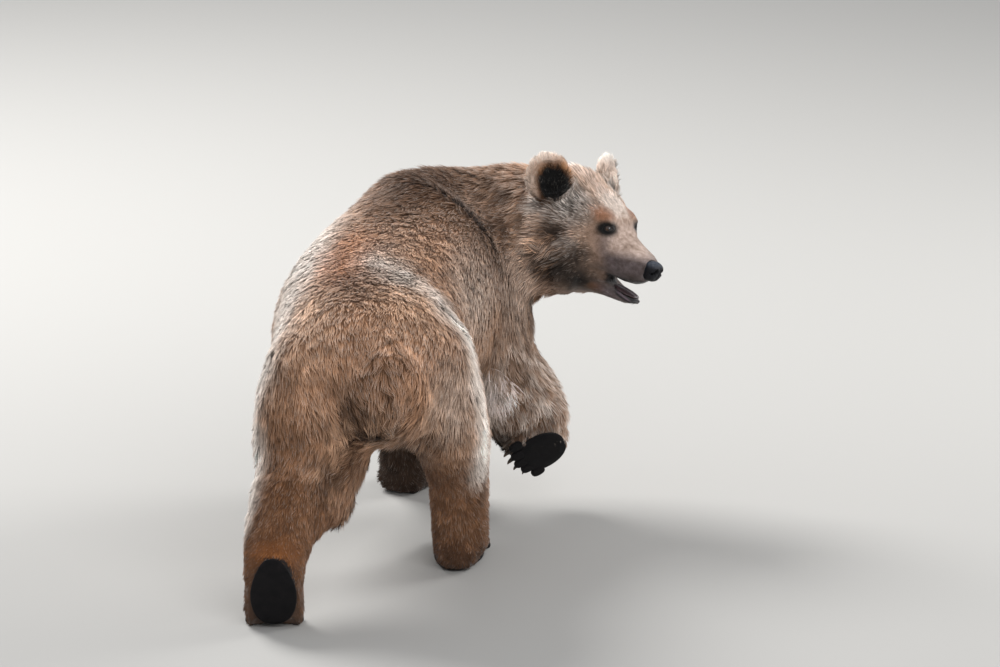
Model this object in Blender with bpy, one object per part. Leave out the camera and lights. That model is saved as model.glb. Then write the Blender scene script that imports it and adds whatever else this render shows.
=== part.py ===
"""A life-size brown bear that walks away and looks back over its right shoulder.

The body is swept along a bent spine, with swept legs, moulded into one form and parted with thin
cuts where a person would name its parts. Ears, eyes, nose pad, tongue and claws are pieces of
their own, trimmed by the body or let into it.

Frame: metres, +Z up, floor at Z = 0. The hips face +Y, the bear's right side faces +X.
The pose is written in centimetres and scaled by CM.
"""

import math

import bmesh
import bpy
import numpy as np
from mathutils import Matrix, Vector

CM = 0.01

# ---------------------------------------------------------------- driving dimensions, centimetres
HUMP_TOP = 98.0  # top of the shoulder hump
CROUP_TOP = 85.0  # top of the back over the hips
BELLY = 37.0  # underside of the barrel
BARREL_HALF = 29.0  # half the barrel's width
HIND_FOOT_HALF = 8.6  # half the width of a hind foot, with its fur
FORE_PAW_HALF = 8.4
TOE_SPREAD = 6.2  # from a foot's middle line to its outer toes
HEAD_SCALE = 1.06  # size of the head against its local drawing
EYE_RADIUS = 1.25
JAW_OPEN = 12.5  # degrees
SOLE_DEPTH = 1.3  # thickness of the bare sole
PRESS = 0.9  # how much of a foot's underside the floor flattens
FORE_CLAW = 5.6  # length of a claw along its curve
RAISED_CLAW = 3.8  # on the raised paw, whose fur hides the rest
HIND_CLAW = 4.2
ORIGIN = (22.6, 37.7)  # the centre of the bounding box, in the pose's own plan

# ---------------------------------------------------------------- making sizes, metres
VOXEL = 0.007
GAP = 0.0004  # what each parting cut takes away
CLEARANCE = 0.0006  # round a piece that is trimmed by another or let into it
FINE_TRIANGLES = 8000  # of the whole body at the fineness that the head keeps
BODY_TRIANGLES = 3120
FLAT_ANGLE = 4.0  # degrees between faces that are merged where the pieces are cut


def pose(x, y, z):
    """A point of the pose in centimetres, as metres in the part's frame."""
    return Vector((x - ORIGIN[0], y - ORIGIN[1], z)) * CM


# ---------------------------------------------------------------- frames
def heading_frame(origin, heading, pitch=0.0, roll=0.0):
    """Local x forward, y left, z up.

    Heading is clockwise from +Y, pitch lowers the front and roll lowers the left side.
    """
    psi, p, r = (math.radians(a) for a in (heading, pitch, roll))
    level = Vector((math.sin(psi), math.cos(psi), 0))
    side = Vector((-math.cos(psi), math.sin(psi), 0))
    forward = level * math.cos(p) - Vector((0, 0, math.sin(p)))
    up = Vector((0, 0, math.cos(p))) + level * math.sin(p)
    left = side * math.cos(r) - up * math.sin(r)
    up = up * math.cos(r) + side * math.sin(r)
    return matrix_of(origin, forward, left, up)


def aimed_frame(origin, forward, up):
    """Local x along forward, z as near to up as it can be."""
    forward = Vector(forward).normalized()
    left = Vector(up).cross(forward).normalized()
    return matrix_of(origin, forward, left, forward.cross(left))


def matrix_of(origin, forward, left, up):
    rows = [[forward[i], left[i], up[i], origin[i]] for i in range(3)]
    return Matrix([*rows, [0, 0, 0, 1]])


HEAD = heading_frame(pose(58.3, 86.0, 76.3), 128.3, 2.8, 8.8)
HEAD_CM = CM * HEAD_SCALE
HIND_LEFT = heading_frame(pose(-25.0, -37.5, 3.0), -2, 76)
TOES_LEFT = heading_frame(pose(-25.0, -35.5, 0), -2)
HIND_RIGHT = heading_frame(pose(23.5, 33.0, 0), 4)
FORE_LEFT = heading_frame(pose(9.0, 99.0, 0), 22)
FORE_RIGHT = aimed_frame(pose(46.4, 72.8, 18.2), (-0.85, -0.04, -0.52), (-0.26, 0.82, 0.42))

# each foot's toes: the frame they stand in and how far forward they reach
TOES = {
    "hind_left": (TOES_LEFT, 4.0),
    "hind_right": (HIND_RIGHT, 6.0),
    "fore_left": (FORE_LEFT, 6.5),
    "fore_right": (FORE_RIGHT, 5.2),
}
CLAW_LENGTHS = {
    "hind_left": HIND_CLAW,
    "hind_right": HIND_CLAW,
    "fore_left": FORE_CLAW,
    "fore_right": RAISED_CLAW,
}


# ---------------------------------------------------------------- shapes as (points, faces)
def blended(rows, spans):
    """The rows with Catmull-Rom rows between them, spans to each gap."""
    rows = np.array(rows, float)
    ends = np.vstack([2 * rows[0] - rows[1], rows, 2 * rows[-1] - rows[-2]])
    made = []
    for i in range(len(rows) - 1):
        a, b, c, d = ends[i : i + 4]
        for k in range(spans):
            t = k / spans
            bend = (2 * a - 5 * b + 4 * c - d) * t**2 + (3 * b - a - 3 * c + d) * t**3
            made.append(0.5 * (2 * b + (c - a) * t + bend))
    made.append(rows[-1])
    return np.array(made)


def sweep(stations, toward, power=2.2, sides=32, spans=5, dome=0.7, cap_angles=(80, 55, 28)):
    """A closed tube through stations of (x, y, z, half width, out, back).

    Out and back are the reaches along toward and against it, in the ring's own plane.
    """
    rows = blended(stations, spans)
    centre = rows[:, :3]
    along = np.gradient(centre, axis=0)
    along /= np.linalg.norm(along, axis=1)[:, None]
    toward = np.array(toward, float)
    rings = []
    turn = np.linspace(0, 2 * math.pi, sides, endpoint=False)
    across = np.sign(np.cos(turn)) * np.abs(np.cos(turn)) ** (2 / power)
    outward = np.sign(np.sin(turn)) * np.abs(np.sin(turn)) ** (2 / power)

    def ring(c, t, half, out, back):
        lean = toward - t * (toward @ t)
        lean /= np.linalg.norm(lean)
        side = np.cross(t, lean)
        reach = np.where(outward > 0, out, back) * outward
        return c + side * (half * across)[:, None] + lean * reach[:, None]

    def cap(c, t, sizes, sign):
        depth = dome * min(sizes)
        for angle in cap_angles:
            a = math.radians(angle)
            yield ring(c + t * sign * depth * math.sin(a), t, *[s * math.cos(a) for s in sizes])

    rings += list(cap(centre[0], along[0], rows[0, 3:], -1))
    for c, t, sizes in zip(centre, along, rows[:, 3:]):
        rings.append(ring(c, t, *sizes))
    rings += list(cap(centre[-1], along[-1], rows[-1, 3:], 1))[::-1]
    points = np.vstack(rings)
    faces = []
    for r in range(len(rings) - 1):
        for s in range(sides):
            n = (s + 1) % sides
            faces.append((r * sides + s, r * sides + n, (r + 1) * sides + n, (r + 1) * sides + s))
    faces.append(tuple(range(sides))[::-1])
    faces.append(tuple(range((len(rings) - 1) * sides, len(rings) * sides)))
    return points, faces


def ball(centre, radii, rings=12, sides=20):
    """An ellipsoid."""
    points = [(0, 0, -1)]
    for r in range(1, rings):
        a = math.pi * r / rings
        for s in range(sides):
            b = 2 * math.pi * s / sides
            points.append((math.sin(a) * math.cos(b), math.sin(a) * math.sin(b), -math.cos(a)))
    points.append((0, 0, 1))
    faces = [(0, 1 + (s + 1) % sides, 1 + s) for s in range(sides)]
    for r in range(rings - 2):
        for s in range(sides):
            n = (s + 1) % sides
            low, high = 1 + r * sides, 1 + (r + 1) * sides
            faces.append((low + s, low + n, high + n, high + s))
    top = len(points) - 1
    last = top - sides
    faces += [(last + s, last + (s + 1) % sides, top) for s in range(sides)]
    return np.array(points) * np.array(radii) + np.array(centre), faces


def placed(shape, frame, scale=CM):
    """A shape drawn in centimetres in a local frame, in the part's frame."""
    points, faces = shape
    matrix = np.array(frame)
    return points * scale @ matrix[:3, :3].T + matrix[:3, 3], faces


def posed(shape):
    """A shape drawn in the pose's centimetres, in the part's frame."""
    points, faces = shape
    return (points - np.array([ORIGIN[0], ORIGIN[1], 0])) * CM, faces


# ---------------------------------------------------------------- the forms of the body
def trunk_forms():
    spine = [
        (4.0, -22.0, 60, 14, 14, 15),
        (2.5, -13.0, 60.5, 21.5, 21.5, 19),
        (0.0, 2.0, 60.5, 26.5, CROUP_TOP - 60.5, 21),
        (-1.0, 22.0, 60, 27, CROUP_TOP - 60, 21.5),
        (0.0, 41.0, 59.5, 28, 27, 59.5 - BELLY),
        (4.0, 59.0, 59, BARREL_HALF, 29.5, 23.5),
        (10.5, 76.0, 59, 28.5, 33, 24.5),
        (18.5, 91.0, 61, 25, HUMP_TOP - 61, 24.5),
        (28.0, 98.0, 66.5, 18, 31.0, 21),
        (38.0, 100.0, 72.0, 16.5, 21.8, 20.5),
        (46.5, 96.0, 75.5, 15.5, 17.6, 18),
    ]
    shoulder_left = ball((2.0, 93.0, 62.0), (14, 18, 22))
    shoulder_right = ball((31.0, 85.0, 62.0), (14, 17, 21))
    return [posed(sweep(spine, (0, 0, 1))), posed(shoulder_left), posed(shoulder_right)]


def leg_forms():
    left_hind = [
        (-11.0, -3, 64, 17, 21, 19),
        (-14.0, -5, 52, 17.5, 22, 20),
        (-15.5, -9, 41, 17, 17.5, 16.5),
        (-18.5, -15.5, 32.5, 14, 12.5, 13),
        (-22.5, -24, 26, 11, 10.5, 11),
        (-24.8, -31.5, 19.5, 9.2, 9.0, 8.5),
        (-25.2, -34.5, 13, 8.8, 8.0, 6.5),
    ]
    right_hind = [
        (12.5, 2, 64, 15.5, 20, 20),
        (17.0, 6, 52, 14, 21, 20),
        (21.0, 13, 40, 11.3, 17, 16),
        (22.8, 18, 27, 9.2, 11.5, 11.5),
        (23.3, 20, 15, 8.6, 9.5, 10),
        (23.5, 21, 7, 8.2, 9, 9),
    ]
    left_fore = [
        (6.0, 98, 66, 13, 16, 17),
        (5.0, 96, 54, 12.5, 15, 15.5),
        (5.0, 92, 42, 10.8, 12, 13),
        (6.2, 92, 32, 9.2, 9.8, 10.5),
        (7.6, 94, 20, 8.2, 8.6, 8.8),
        (8.4, 95.5, 10, 8.0, 8, 8),
        (8.6, 96.5, 6, 7.8, 8, 7.5),
    ]
    right_fore = [
        (28.0, 87, 64, 13, 15, 15),
        (31.5, 80.5, 52, 12.5, 15.5, 15),
        (34.3, 78, 42.5, 10.8, 14, 13.5),
        (39.4, 79, 31, 12.4, 12.5, 12.5),
        (41.7, 80.5, 25, 12.2, 11, 10.5),
        (43.0, 81.5, 20, 10.6, 9.5, 9),
    ]
    breeches = ball((-12.0, -12.5, 29.5), (9.5, 9.5, 10.0))
    return [
        posed(sweep(left_hind, (0, 1, 0.15))),
        posed(sweep(right_hind, (0, 1, 0.15))),
        posed(sweep(left_fore, (0.3, 1, 0))),
        posed(sweep(right_fore, (0.15, 1, 0.2))),
        posed(breeches),
    ]


def toe_places(reach, bow=1.6):
    """Where the five toes of a foot lie in its plan, from its right to its left."""
    for k in range(5):
        side = k / 2 - 1
        yield k, (reach - bow * side * side, side * TOE_SPREAD)


def toe_forms(frame, reach):
    return [placed(ball((x, y, 2.0), (4.0, 1.9, 2.65)), frame) for _, (x, y) in toe_places(reach)]


def pressed(stations):
    """The stations of a foot that reach below the floor, where the underside is flattened."""
    return [(*rest, back + PRESS) for *rest, back in stations]


def foot_forms():
    hind = [
        (-17.5, 0, 5.0, 6.2, 4.8, 5.0),
        (-11.0, 0, 5.4, 7.0, 6.4, 5.4),
        (-3.0, 0, 4.8, 8.0, 5.4, 4.8),
        (3.0, 0, 3.8, HIND_FOOT_HALF - 0.6, 3.8, 3.8),
    ]
    raised = [
        (-17.0, 0, 5.4, 6.6, 5.6, 5.4),
        (-11.0, 0, 5.6, 7.6, 7.0, 5.6),
        (-4.0, 0, 5.0, 8.3, 6.2, 5.0),
        (0.0, 0, 4.6, HIND_FOOT_HALF, 5.2, 4.6),
    ]
    fore = [
        (-7.0, 0, 4.6, 7.0, 5.2, 4.6),
        (-1.0, 0, 4.4, 8.0, 4.4, 4.4),
        (4.0, 0, 3.6, FORE_PAW_HALF - 0.4, 3.4, 3.6),
    ]
    folded = [
        (-4.5, 0, 4.6, 6.8, 5.2, 4.6),
        (-0.5, 0, 4.4, 7.8, 4.4, 4.4),
        (3.4, 0, 3.6, FORE_PAW_HALF - 0.6, 3.4, 3.6),
    ]
    forms = [placed(sweep(raised, (0, 0, 1), power=2.4), HIND_LEFT)]
    for frame, stations in ((HIND_RIGHT, pressed(hind)), (FORE_LEFT, pressed(fore)), (FORE_RIGHT, folded)):
        forms.append(placed(sweep(stations, (0, 0, 1), power=2.6), frame))
    for frame, reach in TOES.values():
        forms += toe_forms(frame, reach)
    return forms


def head_forms():
    skull = [
        (-16, 0, 0, 12, 13.5, 14),
        (-10, 0, 0, 14.2, 16.0, 17),
        (-5, 0, 0, 14.6, 16.6, 18),
        (0, 0, 0, 13.6, 14.8, 17),
        (3.5, 0, 0, 12.0, 12.0, 15),
        (6.5, 0, -0.5, 10.0, 9.6, 12.3),
        (9.5, 0, -1.5, 8.0, 6.3, 9.3),
        (12.5, 0, -2.6, 6.4, 4.1, 7.6),
        (16, 0, -3.8, 5.6, 3.5, 7.0),
        (19.5, 0, -5.0, 5.0, 2.9, 6.0),
        (21.8, 0, -5.8, 4.2, 2.2, 4.6),
    ]
    forms = [placed(sweep(skull, (0, 0, 1), dome=0.5), HEAD, HEAD_CM)]
    for side in (-1, 1):
        brow = ball((8.0, side * 5.1, 4.3), (3.8, 2.7, 2.0))
        cheek = ball((-4, side * 7.6, -8.6), (9.5, 7.4, 10))
        forms += [placed(brow, HEAD, HEAD_CM), placed(cheek, HEAD, HEAD_CM)]
    jaw = [
        (-6, 0, -10.5, 9.5, 5, 7),
        (1, 0, -10.8, 8.5, 4, 5.4),
        (6, 0, -10.6, 7.0, 3, 3.8),
        (10, 0, -10.7, 5.8, 2, 2.6),
        (15, 0, -10.9, 4.7, 1.2, 1.8),
        (20.2, 0, -10.9, 3.4, 0.9, 1.3),
    ]
    forms.append(placed(sweep(jaw, (0, 0, 1), dome=0.6), jaw_frame(), HEAD_CM))
    return forms


def jaw_frame():
    """The head's frame swung open about the jaw's hinge."""
    hinge = Matrix.Translation((0, 0, -7 * HEAD_CM))
    swing = Matrix.Rotation(math.radians(JAW_OPEN), 4, "Y")
    return HEAD @ hinge @ swing @ hinge.inverted()


def tail_form():
    hang = [
        (4.2, -19, 76, 3.6, 3.2, 3.4),
        (4.8, -27, 70, 4.4, 3.6, 3.8),
        (5.2, -31, 62, 4.2, 3.2, 3.4),
        (5.4, -31.5, 55, 3.0, 2.6, 2.8),
    ]
    return posed(sweep(hang, (0, 1, 0)))


# ---------------------------------------------------------------- meshes
def mesh_object(name, points, faces):
    mesh = bpy.data.meshes.new(name)
    mesh.from_pydata([tuple(p) for p in points], [], [tuple(int(i) for i in f) for f in faces])
    mesh.update()
    obj = bpy.data.objects.new(name, mesh)
    bpy.context.scene.collection.objects.link(obj)
    return obj


def joined(forms):
    points, faces, start = [], [], 0
    for p, f in forms:
        points.append(p)
        faces += [tuple(i + start for i in face) for face in f]
        start += len(p)
    return np.vstack(points), faces


def bake(obj):
    """Puts the object's modifiers into its mesh."""
    graph = bpy.context.evaluated_depsgraph_get()
    mesh = bpy.data.meshes.new_from_object(obj.evaluated_get(graph))
    obj.modifiers.clear()
    obj.data = mesh
    return obj


def point_array(mesh):
    points = np.empty(len(mesh.vertices) * 3)
    mesh.vertices.foreach_get("co", points)
    return points.reshape(-1, 3)


def set_points(mesh, points):
    mesh.vertices.foreach_set("co", points.ravel())
    mesh.update()


def duplicate(obj, name):
    copy = bpy.data.objects.new(name, obj.data.copy())
    bpy.context.scene.collection.objects.link(copy)
    return copy


def grown(obj, by):
    """A copy of the object with its surface moved out along its normals."""
    copy = duplicate(obj, obj.name + "_grown")
    normals = np.empty(len(copy.data.vertices) * 3)
    copy.data.vertices.foreach_get("normal", normals)
    set_points(copy.data, point_array(copy.data) + normals.reshape(-1, 3) * by)
    return copy


def cut(obj, other, operation):
    """A boolean of the object with the other one, which is left as it is."""
    modifier = obj.modifiers.new("cut", "BOOLEAN")
    modifier.operation = operation
    modifier.object = other
    modifier.solver = "EXACT"
    bake(obj)
    return obj


def keep_largest(obj):
    """Drops all but the largest of the object's bodies, and any loose points."""
    mesh = bmesh.new()
    mesh.from_mesh(obj.data)
    bmesh.ops.remove_doubles(mesh, verts=mesh.verts, dist=0.00001)
    left, bodies = set(mesh.verts), []
    while left:
        body, edge = set(), [left.pop()]
        while edge:
            point = edge.pop()
            body.add(point)
            for link in point.link_edges:
                other = link.other_vert(point)
                if other in left:
                    left.remove(other)
                    edge.append(other)
        bodies.append(body)
    kept = max(bodies, key=spread)
    bmesh.ops.delete(mesh, geom=[v for v in mesh.verts if v not in kept], context="VERTS")
    bmesh.ops.triangulate(mesh, faces=mesh.faces)
    mesh.to_mesh(obj.data)
    mesh.free()
    return obj


def spread(body):
    """The diagonal of a set of points' box."""
    points = np.array([v.co[:] for v in body])
    return np.linalg.norm(points.max(0) - points.min(0))


# ---------------------------------------------------------------- moulding the forms into one
def relax(points, edges, rounds, keep):
    """Laplacian rounds over the mesh; keep is 1 where a point stays and 0 where it is free."""
    count = np.bincount(edges.ravel(), minlength=len(points)).astype(float)
    free = (0.5 * (1 - keep))[:, None]
    for _ in range(rounds):
        total = np.zeros_like(points)
        for axis in range(3):
            total[:, axis] += np.bincount(edges[:, 0], points[edges[:, 1], axis], len(points))
            total[:, axis] += np.bincount(edges[:, 1], points[edges[:, 0], axis], len(points))
        points = points + free * (total / count[:, None] - points)
    return points


def near(points, centre, inner, outer):
    """1 within inner metres of centre, 0 past outer, smooth between."""
    far = np.linalg.norm(points - np.array(centre), axis=1)
    t = np.clip((outer - far) / (outer - inner), 0, 1)
    return t * t * (3 - 2 * t)


def thin_to(obj, triangles, spared=None):
    """Decimates the object to a number of triangles, outside the places that are spared."""
    thin = obj.modifiers.new("thin", "DECIMATE")
    thin.ratio = triangles / sum(len(face.vertices) - 2 for face in obj.data.polygons)
    if spared is not None:
        group = obj.vertex_groups.new(name="spared")
        group.add(np.flatnonzero(spared > 0.5).tolist(), 1.0, "REPLACE")
        thin.vertex_group = group.name
        thin.invert_vertex_group = True
    bake(obj)


def moulded_body():
    forms = trunk_forms() + leg_forms() + foot_forms() + head_forms() + [tail_form()]
    obj = mesh_object("body", *joined(forms))
    remesh = obj.modifiers.new("mould", "REMESH")
    remesh.mode = "VOXEL"
    remesh.voxel_size = VOXEL
    bake(obj)
    points = point_array(obj.data)
    edges = np.array([e.vertices[:] for e in obj.data.edges])
    keep = near(points, HEAD.translation, 0.20, 0.30)
    for frame, _ in TOES.values():
        keep = np.maximum(keep, near(points, frame.translation, 0.12, 0.20))
    points = relax(points, edges, 45, np.minimum(keep, 1.0))
    points = relax(points, edges, 5, np.zeros(len(points)))
    points[:, 2] = np.maximum(points[:, 2], 0)
    set_points(obj.data, points)
    thin_to(obj, FINE_TRIANGLES)
    thin_to(obj, BODY_TRIANGLES, spared=near(point_array(obj.data), HEAD.translation, 0.20, 0.21))
    points = point_array(obj.data)
    points[points[:, 2] < 0.001, 2] = 0
    set_points(obj.data, points)
    return obj


# ---------------------------------------------------------------- parting the body
BOX_FACES = [(0, 1, 3, 2), (4, 6, 7, 5), (0, 4, 5, 1), (2, 3, 7, 6), (0, 2, 6, 4), (1, 5, 7, 3)]


def box_tool(low, high, frame, scale=CM):
    """A box between two corners of a frame whose unit is scale."""
    corners = [(x, y, z) for x in (low[0], high[0]) for y in (low[1], high[1]) for z in (low[2], high[2])]
    return mesh_object("tool", *placed((np.array(corners, float), BOX_FACES), frame, scale))


def leg_tool(across, inner_z, outer_z, back, front, grow=0.0):
    """What takes a leg off: a block under a sloping top.

    Across is its inner and outer x, with the top's height at each. Back and front are its reach in y
    at the floor and at the top.
    """
    inner, outer = across
    wide = grow if outer > inner else -grow
    corners = []
    for x, top in ((inner - wide, inner_z), (outer + wide, outer_z)):
        for low_y, high_y, way in ((back[0], back[1], -grow), (front[0], front[1], grow)):
            corners += [(x, low_y + way, -5), (x, high_y + way, top + grow)]
    faces = BOX_FACES if outer > inner else [face[::-1] for face in BOX_FACES]
    split = [part for a, b, c, d in faces for part in ((a, b, c), (a, c, d))]
    return mesh_object("tool", *posed((np.array(corners, float), split)))


def take(body, name, inner, outer):
    """Takes what lies in the inner tool out of the body, and the outer one's volume from the body."""
    piece = keep_largest(cut(duplicate(body, name), inner, "INTERSECT"))
    keep_largest(cut(body, outer, "DIFFERENCE"))
    for tool in (inner, outer):
        bpy.data.objects.remove(tool)
    return piece


def part_off(body, name, frame, low, high, scale=CM):
    grow = GAP / scale
    wider = [[v - grow for v in low], [v + grow for v in high]]
    return take(body, name, box_tool(low, high, frame, scale), box_tool(*wider, frame, scale))


def joint(point, into, up=(0, 1, 0)):
    """The frame of a parting plane: x points into the piece that is taken off."""
    return aimed_frame(pose(*point), into, up)


def in_head(x, z, pitch):
    """A frame on the head's middle plane, pitched nose down."""
    shift = Matrix.Translation((x * HEAD_CM, 0, z * HEAD_CM))
    return HEAD @ shift @ Matrix.Rotation(math.radians(pitch), 4, "Y")


def part_head(body):
    head = part_off(body, "head", in_head(-9.4, 0, -9.7), (0, -24, -24), (45, 24, 26), HEAD_CM)
    jaw = part_off(head, "jaw", in_head(1, -9.9, 4.5), (0, -16, -20), (30, 16, 0), HEAD_CM)
    collar = joint((25, 96.5, 65), (0.82, 0.32, 0.47), (0, 0, 1))
    neck = part_off(body, "neck", collar, (0, -30, -24), (50, 30, 36))
    return [head, jaw, neck]


# each leg: the tool that takes it off (leg_tool's sizes), its parts from the top down, and for each
# lower part a point on the parting plane above it and the way that the plane faces
LEGS = [
    (
        ((7, -46), 37.5, 73, (-66, -66), (18, 13)),
        ("thigh_left", "shank_left", "hind_foot_left"),
        (((-19.5, -17.5, 31), (-0.3, -0.6, -0.7)), ((-24.2, -29.5, 21), (-0.1, -0.7, -0.7))),
    ),
    (
        ((1, 46), 39.5, 73, (-40, -30), (54, 28)),
        ("thigh_right", "shank_right", "hind_foot_right"),
        (((21.5, 14, 38), (0.1, 0.25, -1)), ((23.4, 21, 11.5), (0, 0.1, -1))),
    ),
    (
        ((20, -25), 35, 77, (78, 74), (126, 118)),
        ("upper_arm_left", "forearm_left", "forepaw_left"),
        (((5.2, 92, 38), (0.1, 0, -1)), ((8.2, 95, 10.5), (0, 0.1, -1))),
    ),
    (
        ((20, 72), 39.5, 96, (55, 60), (112, 102)),
        ("upper_arm_right", "forearm_right", "forepaw_right"),
        (((37.5, 78.5, 38), (0.35, 0, -0.95)), ((42.8, 81, 21.5), (0.05, 0, -1))),
    ),
]


def part_legs(body):
    made = []
    for sizes, names, planes in LEGS:
        limb = take(body, names[0], leg_tool(*sizes), leg_tool(*sizes, GAP / CM))
        made.append(limb)
        for name, plane in zip(names[1:], planes):
            limb = part_off(limb, name, joint(*plane), (0, -40, -40), (60, 40, 40))
            made.append(limb)
    return made


def part_trunk(body):
    dock = joint((4.7, -26.5, 62), (0, -1, 0.1), (0, 0, 1))
    girth = joint((3.5, 62, 60), (0.2, 0.98, 0), (0, 0, 1))
    loin = joint((-0.5, 24, 60), (0, -1, 0), (0, 0, 1))
    tail = part_off(body, "tail", dock, (0, -6.5, -13), (20, 6.5, 13))
    chest = part_off(body, "chest", girth, (0, -60, -60), (90, 60, 60))
    hips = part_off(body, "hips", loin, (0, -60, -60), (90, 60, 60))
    body.name = "barrel"
    return [tail, chest, hips, body]


SOLES = {
    "hind_left": ("hind_foot_left", HIND_LEFT),
    "hind_right": ("hind_foot_right", HIND_RIGHT),
    "fore_left": ("forepaw_left", FORE_LEFT),
    "fore_right": ("forepaw_right", FORE_RIGHT),
}


def merge_flats(objects):
    """Merges faces that are nearly flat to each other, which takes away the slivers along the cuts."""
    for obj in objects:
        mesh = bmesh.new()
        mesh.from_mesh(obj.data)
        angle = math.radians(FLAT_ANGLE)
        bmesh.ops.dissolve_limit(mesh, angle_limit=angle, verts=mesh.verts, edges=mesh.edges)
        bmesh.ops.triangulate(mesh, faces=mesh.faces)
        mesh.to_mesh(obj.data)
        mesh.free()


def part_soles():
    """The bare sole under each foot, a thin slice along its own plane."""
    made = []
    for place, (foot, frame) in SOLES.items():
        low, high = (-30, -20, -5), (20, 20, SOLE_DEPTH)
        made.append(part_off(bpy.data.objects[foot], f"sole_{place}", frame, low, high))
    return made


# ---------------------------------------------------------------- pieces set into the head
def trimmed(obj, others):
    """The object without what lies within the clearance of the other ones."""
    for other in others:
        shell = grown(other, CLEARANCE)
        cut(obj, shell, "DIFFERENCE")
        bpy.data.objects.remove(shell)
    return keep_largest(obj)


def let_in(obj, into):
    """Cuts room for the object, and the clearance, into another one."""
    shell = grown(obj, CLEARANCE)
    keep_largest(cut(into, shell, "DIFFERENCE"))
    bpy.data.objects.remove(shell)


def head_object(name, shape, frame=HEAD):
    return mesh_object(name, *placed(shape, frame, HEAD_CM))


def carved(obj, hollow):
    cut(obj, hollow, "DIFFERENCE")
    bpy.data.objects.remove(hollow)
    return obj


def add_eyes(head):
    for name, side in (("eye_right", -1), ("eye_left", 1)):
        radius = EYE_RADIUS / HEAD_SCALE
        opening = head_object("opening", ball((10.8, side * 6.5, 3.0), (1.7, 1.9, 1.15), 6, 10))
        carved(head, opening)
        eye = head_object(name, ball((10.1, side * 5.15, 3.0), (radius,) * 3, 7, 12))
        let_in(eye, head)


def add_ears(head):
    for name, side, height in (("ear_right", -1, 12.3), ("ear_left", 1, 10.9)):
        root = HEAD @ (Vector((-4.8, side * 12.9, height)) * HEAD_CM)
        turn = HEAD.to_3x3()
        opens = turn @ Vector((0.66, side * 0.72, 0.18))
        frame = aimed_frame(root, opens, turn @ Vector((-0.10, side * 0.34, 1)))
        ear = head_object(name, ball((0, 0, 1.2), (3.0, 6.1, 6.5), 9, 14), frame)
        carved(ear, head_object("cup", ball((2.8, 0, 1.5), (3.2, 4.3, 4.5), 7, 12), frame))
        trimmed(ear, [head])


def add_nose(head):
    nose = head_object("nose_pad", ball((22.0, 0, -6.1), (2.4, 3.0, 2.75), 8, 12))
    let_in(nose, head)
    for side in (-1, 1):
        carved(nose, head_object("nostril", ball((24.4, side * 1.35, -6.3), (1.7, 0.62, 0.8), 5, 8)))
    keep_largest(nose)


def add_tongue(head, jaw):
    tongue = head_object("tongue", ball((14.0, 0, -9.7), (6.0, 2.3, 0.8), 6, 12), jaw_frame())
    trimmed(tongue, [head, jaw])


# ---------------------------------------------------------------- claws
def claw_shape(length, root, droop=46):
    """A claw that leaves the toe level and curves down to its point."""
    stations = []
    x, y, z = root
    steps = 3
    for k in range(steps + 1):
        thick = 0.7 * (1 - 0.82 * k / steps)
        stations.append((x, y, z, thick, thick * 1.25, thick * 0.9))
        slope = math.radians(droop * (k + 0.5) / steps - 8)
        x += length / steps * math.cos(slope)
        z -= length / steps * math.sin(slope)
    return sweep(stations, (0, 0, 1), power=2, sides=5, spans=1, dome=0.5, cap_angles=(45,))


def add_claws():
    for place, (frame, reach) in TOES.items():
        foot, _ = SOLES[place]
        length = CLAW_LENGTHS[place]
        for k, (x, y) in toe_places(reach):
            root = (x + 2.4, y, 2.9)
            claw = mesh_object(f"claw_{place}_{k + 1}", *placed(claw_shape(length, root), frame))
            trimmed(claw, [bpy.data.objects[foot], bpy.data.objects[f"sole_{place}"]])


# ---------------------------------------------------------------- finish
# what a name starts with, the piece's base colour and its roughness; the first that fits is used
LOOKS = [
    ("sole", (0.02, 0.017, 0.015), 0.7),
    ("claw", (0.045, 0.035, 0.03), 0.4),
    ("nose", (0.015, 0.015, 0.018), 0.35),
    ("eye", (0.02, 0.01, 0.006), 0.1),
    ("tongue", (0.35, 0.14, 0.14), 0.5),
    ("head", (0.24, 0.17, 0.11), 0.85),
    ("jaw", (0.20, 0.14, 0.09), 0.85),
    ("ear", (0.27, 0.18, 0.10), 0.85),
    ("fore", (0.12, 0.065, 0.04), 0.85),
    ("hind", (0.12, 0.065, 0.04), 0.85),
    ("shank", (0.14, 0.075, 0.045), 0.85),
    ("", (0.22, 0.125, 0.07), 0.85),
]


def finish(obj):
    colour, roughness = next(look[1:] for look in LOOKS if obj.name.startswith(look[0]))
    made = bpy.data.materials.new(obj.name)
    made.use_nodes = True
    shader = made.node_tree.nodes["Principled BSDF"]
    shader.inputs["Base Color"].default_value = (*colour, 1)
    shader.inputs["Roughness"].default_value = roughness
    shader.inputs["Metallic"].default_value = 0
    obj.data.materials.clear()
    obj.data.materials.append(made)
    obj.data.shade_smooth()
    obj.data.set_sharp_from_angle(angle=math.radians(35))


def main():
    for obj in list(bpy.data.objects):
        bpy.data.objects.remove(obj)
    body = moulded_body()
    fur = part_head(body) + part_legs(body) + part_trunk(body)
    head, jaw = fur[:2]
    soles = part_soles()
    merge_flats(fur + soles)
    add_eyes(head)
    add_nose(head)
    add_ears(head)
    add_tongue(head, jaw)
    add_claws()
    for obj in bpy.data.objects:
        finish(obj)


main()
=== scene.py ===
import math

import bmesh
import bpy
import numpy as np
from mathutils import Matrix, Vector, noise
from mathutils.kdtree import KDTree


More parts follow.
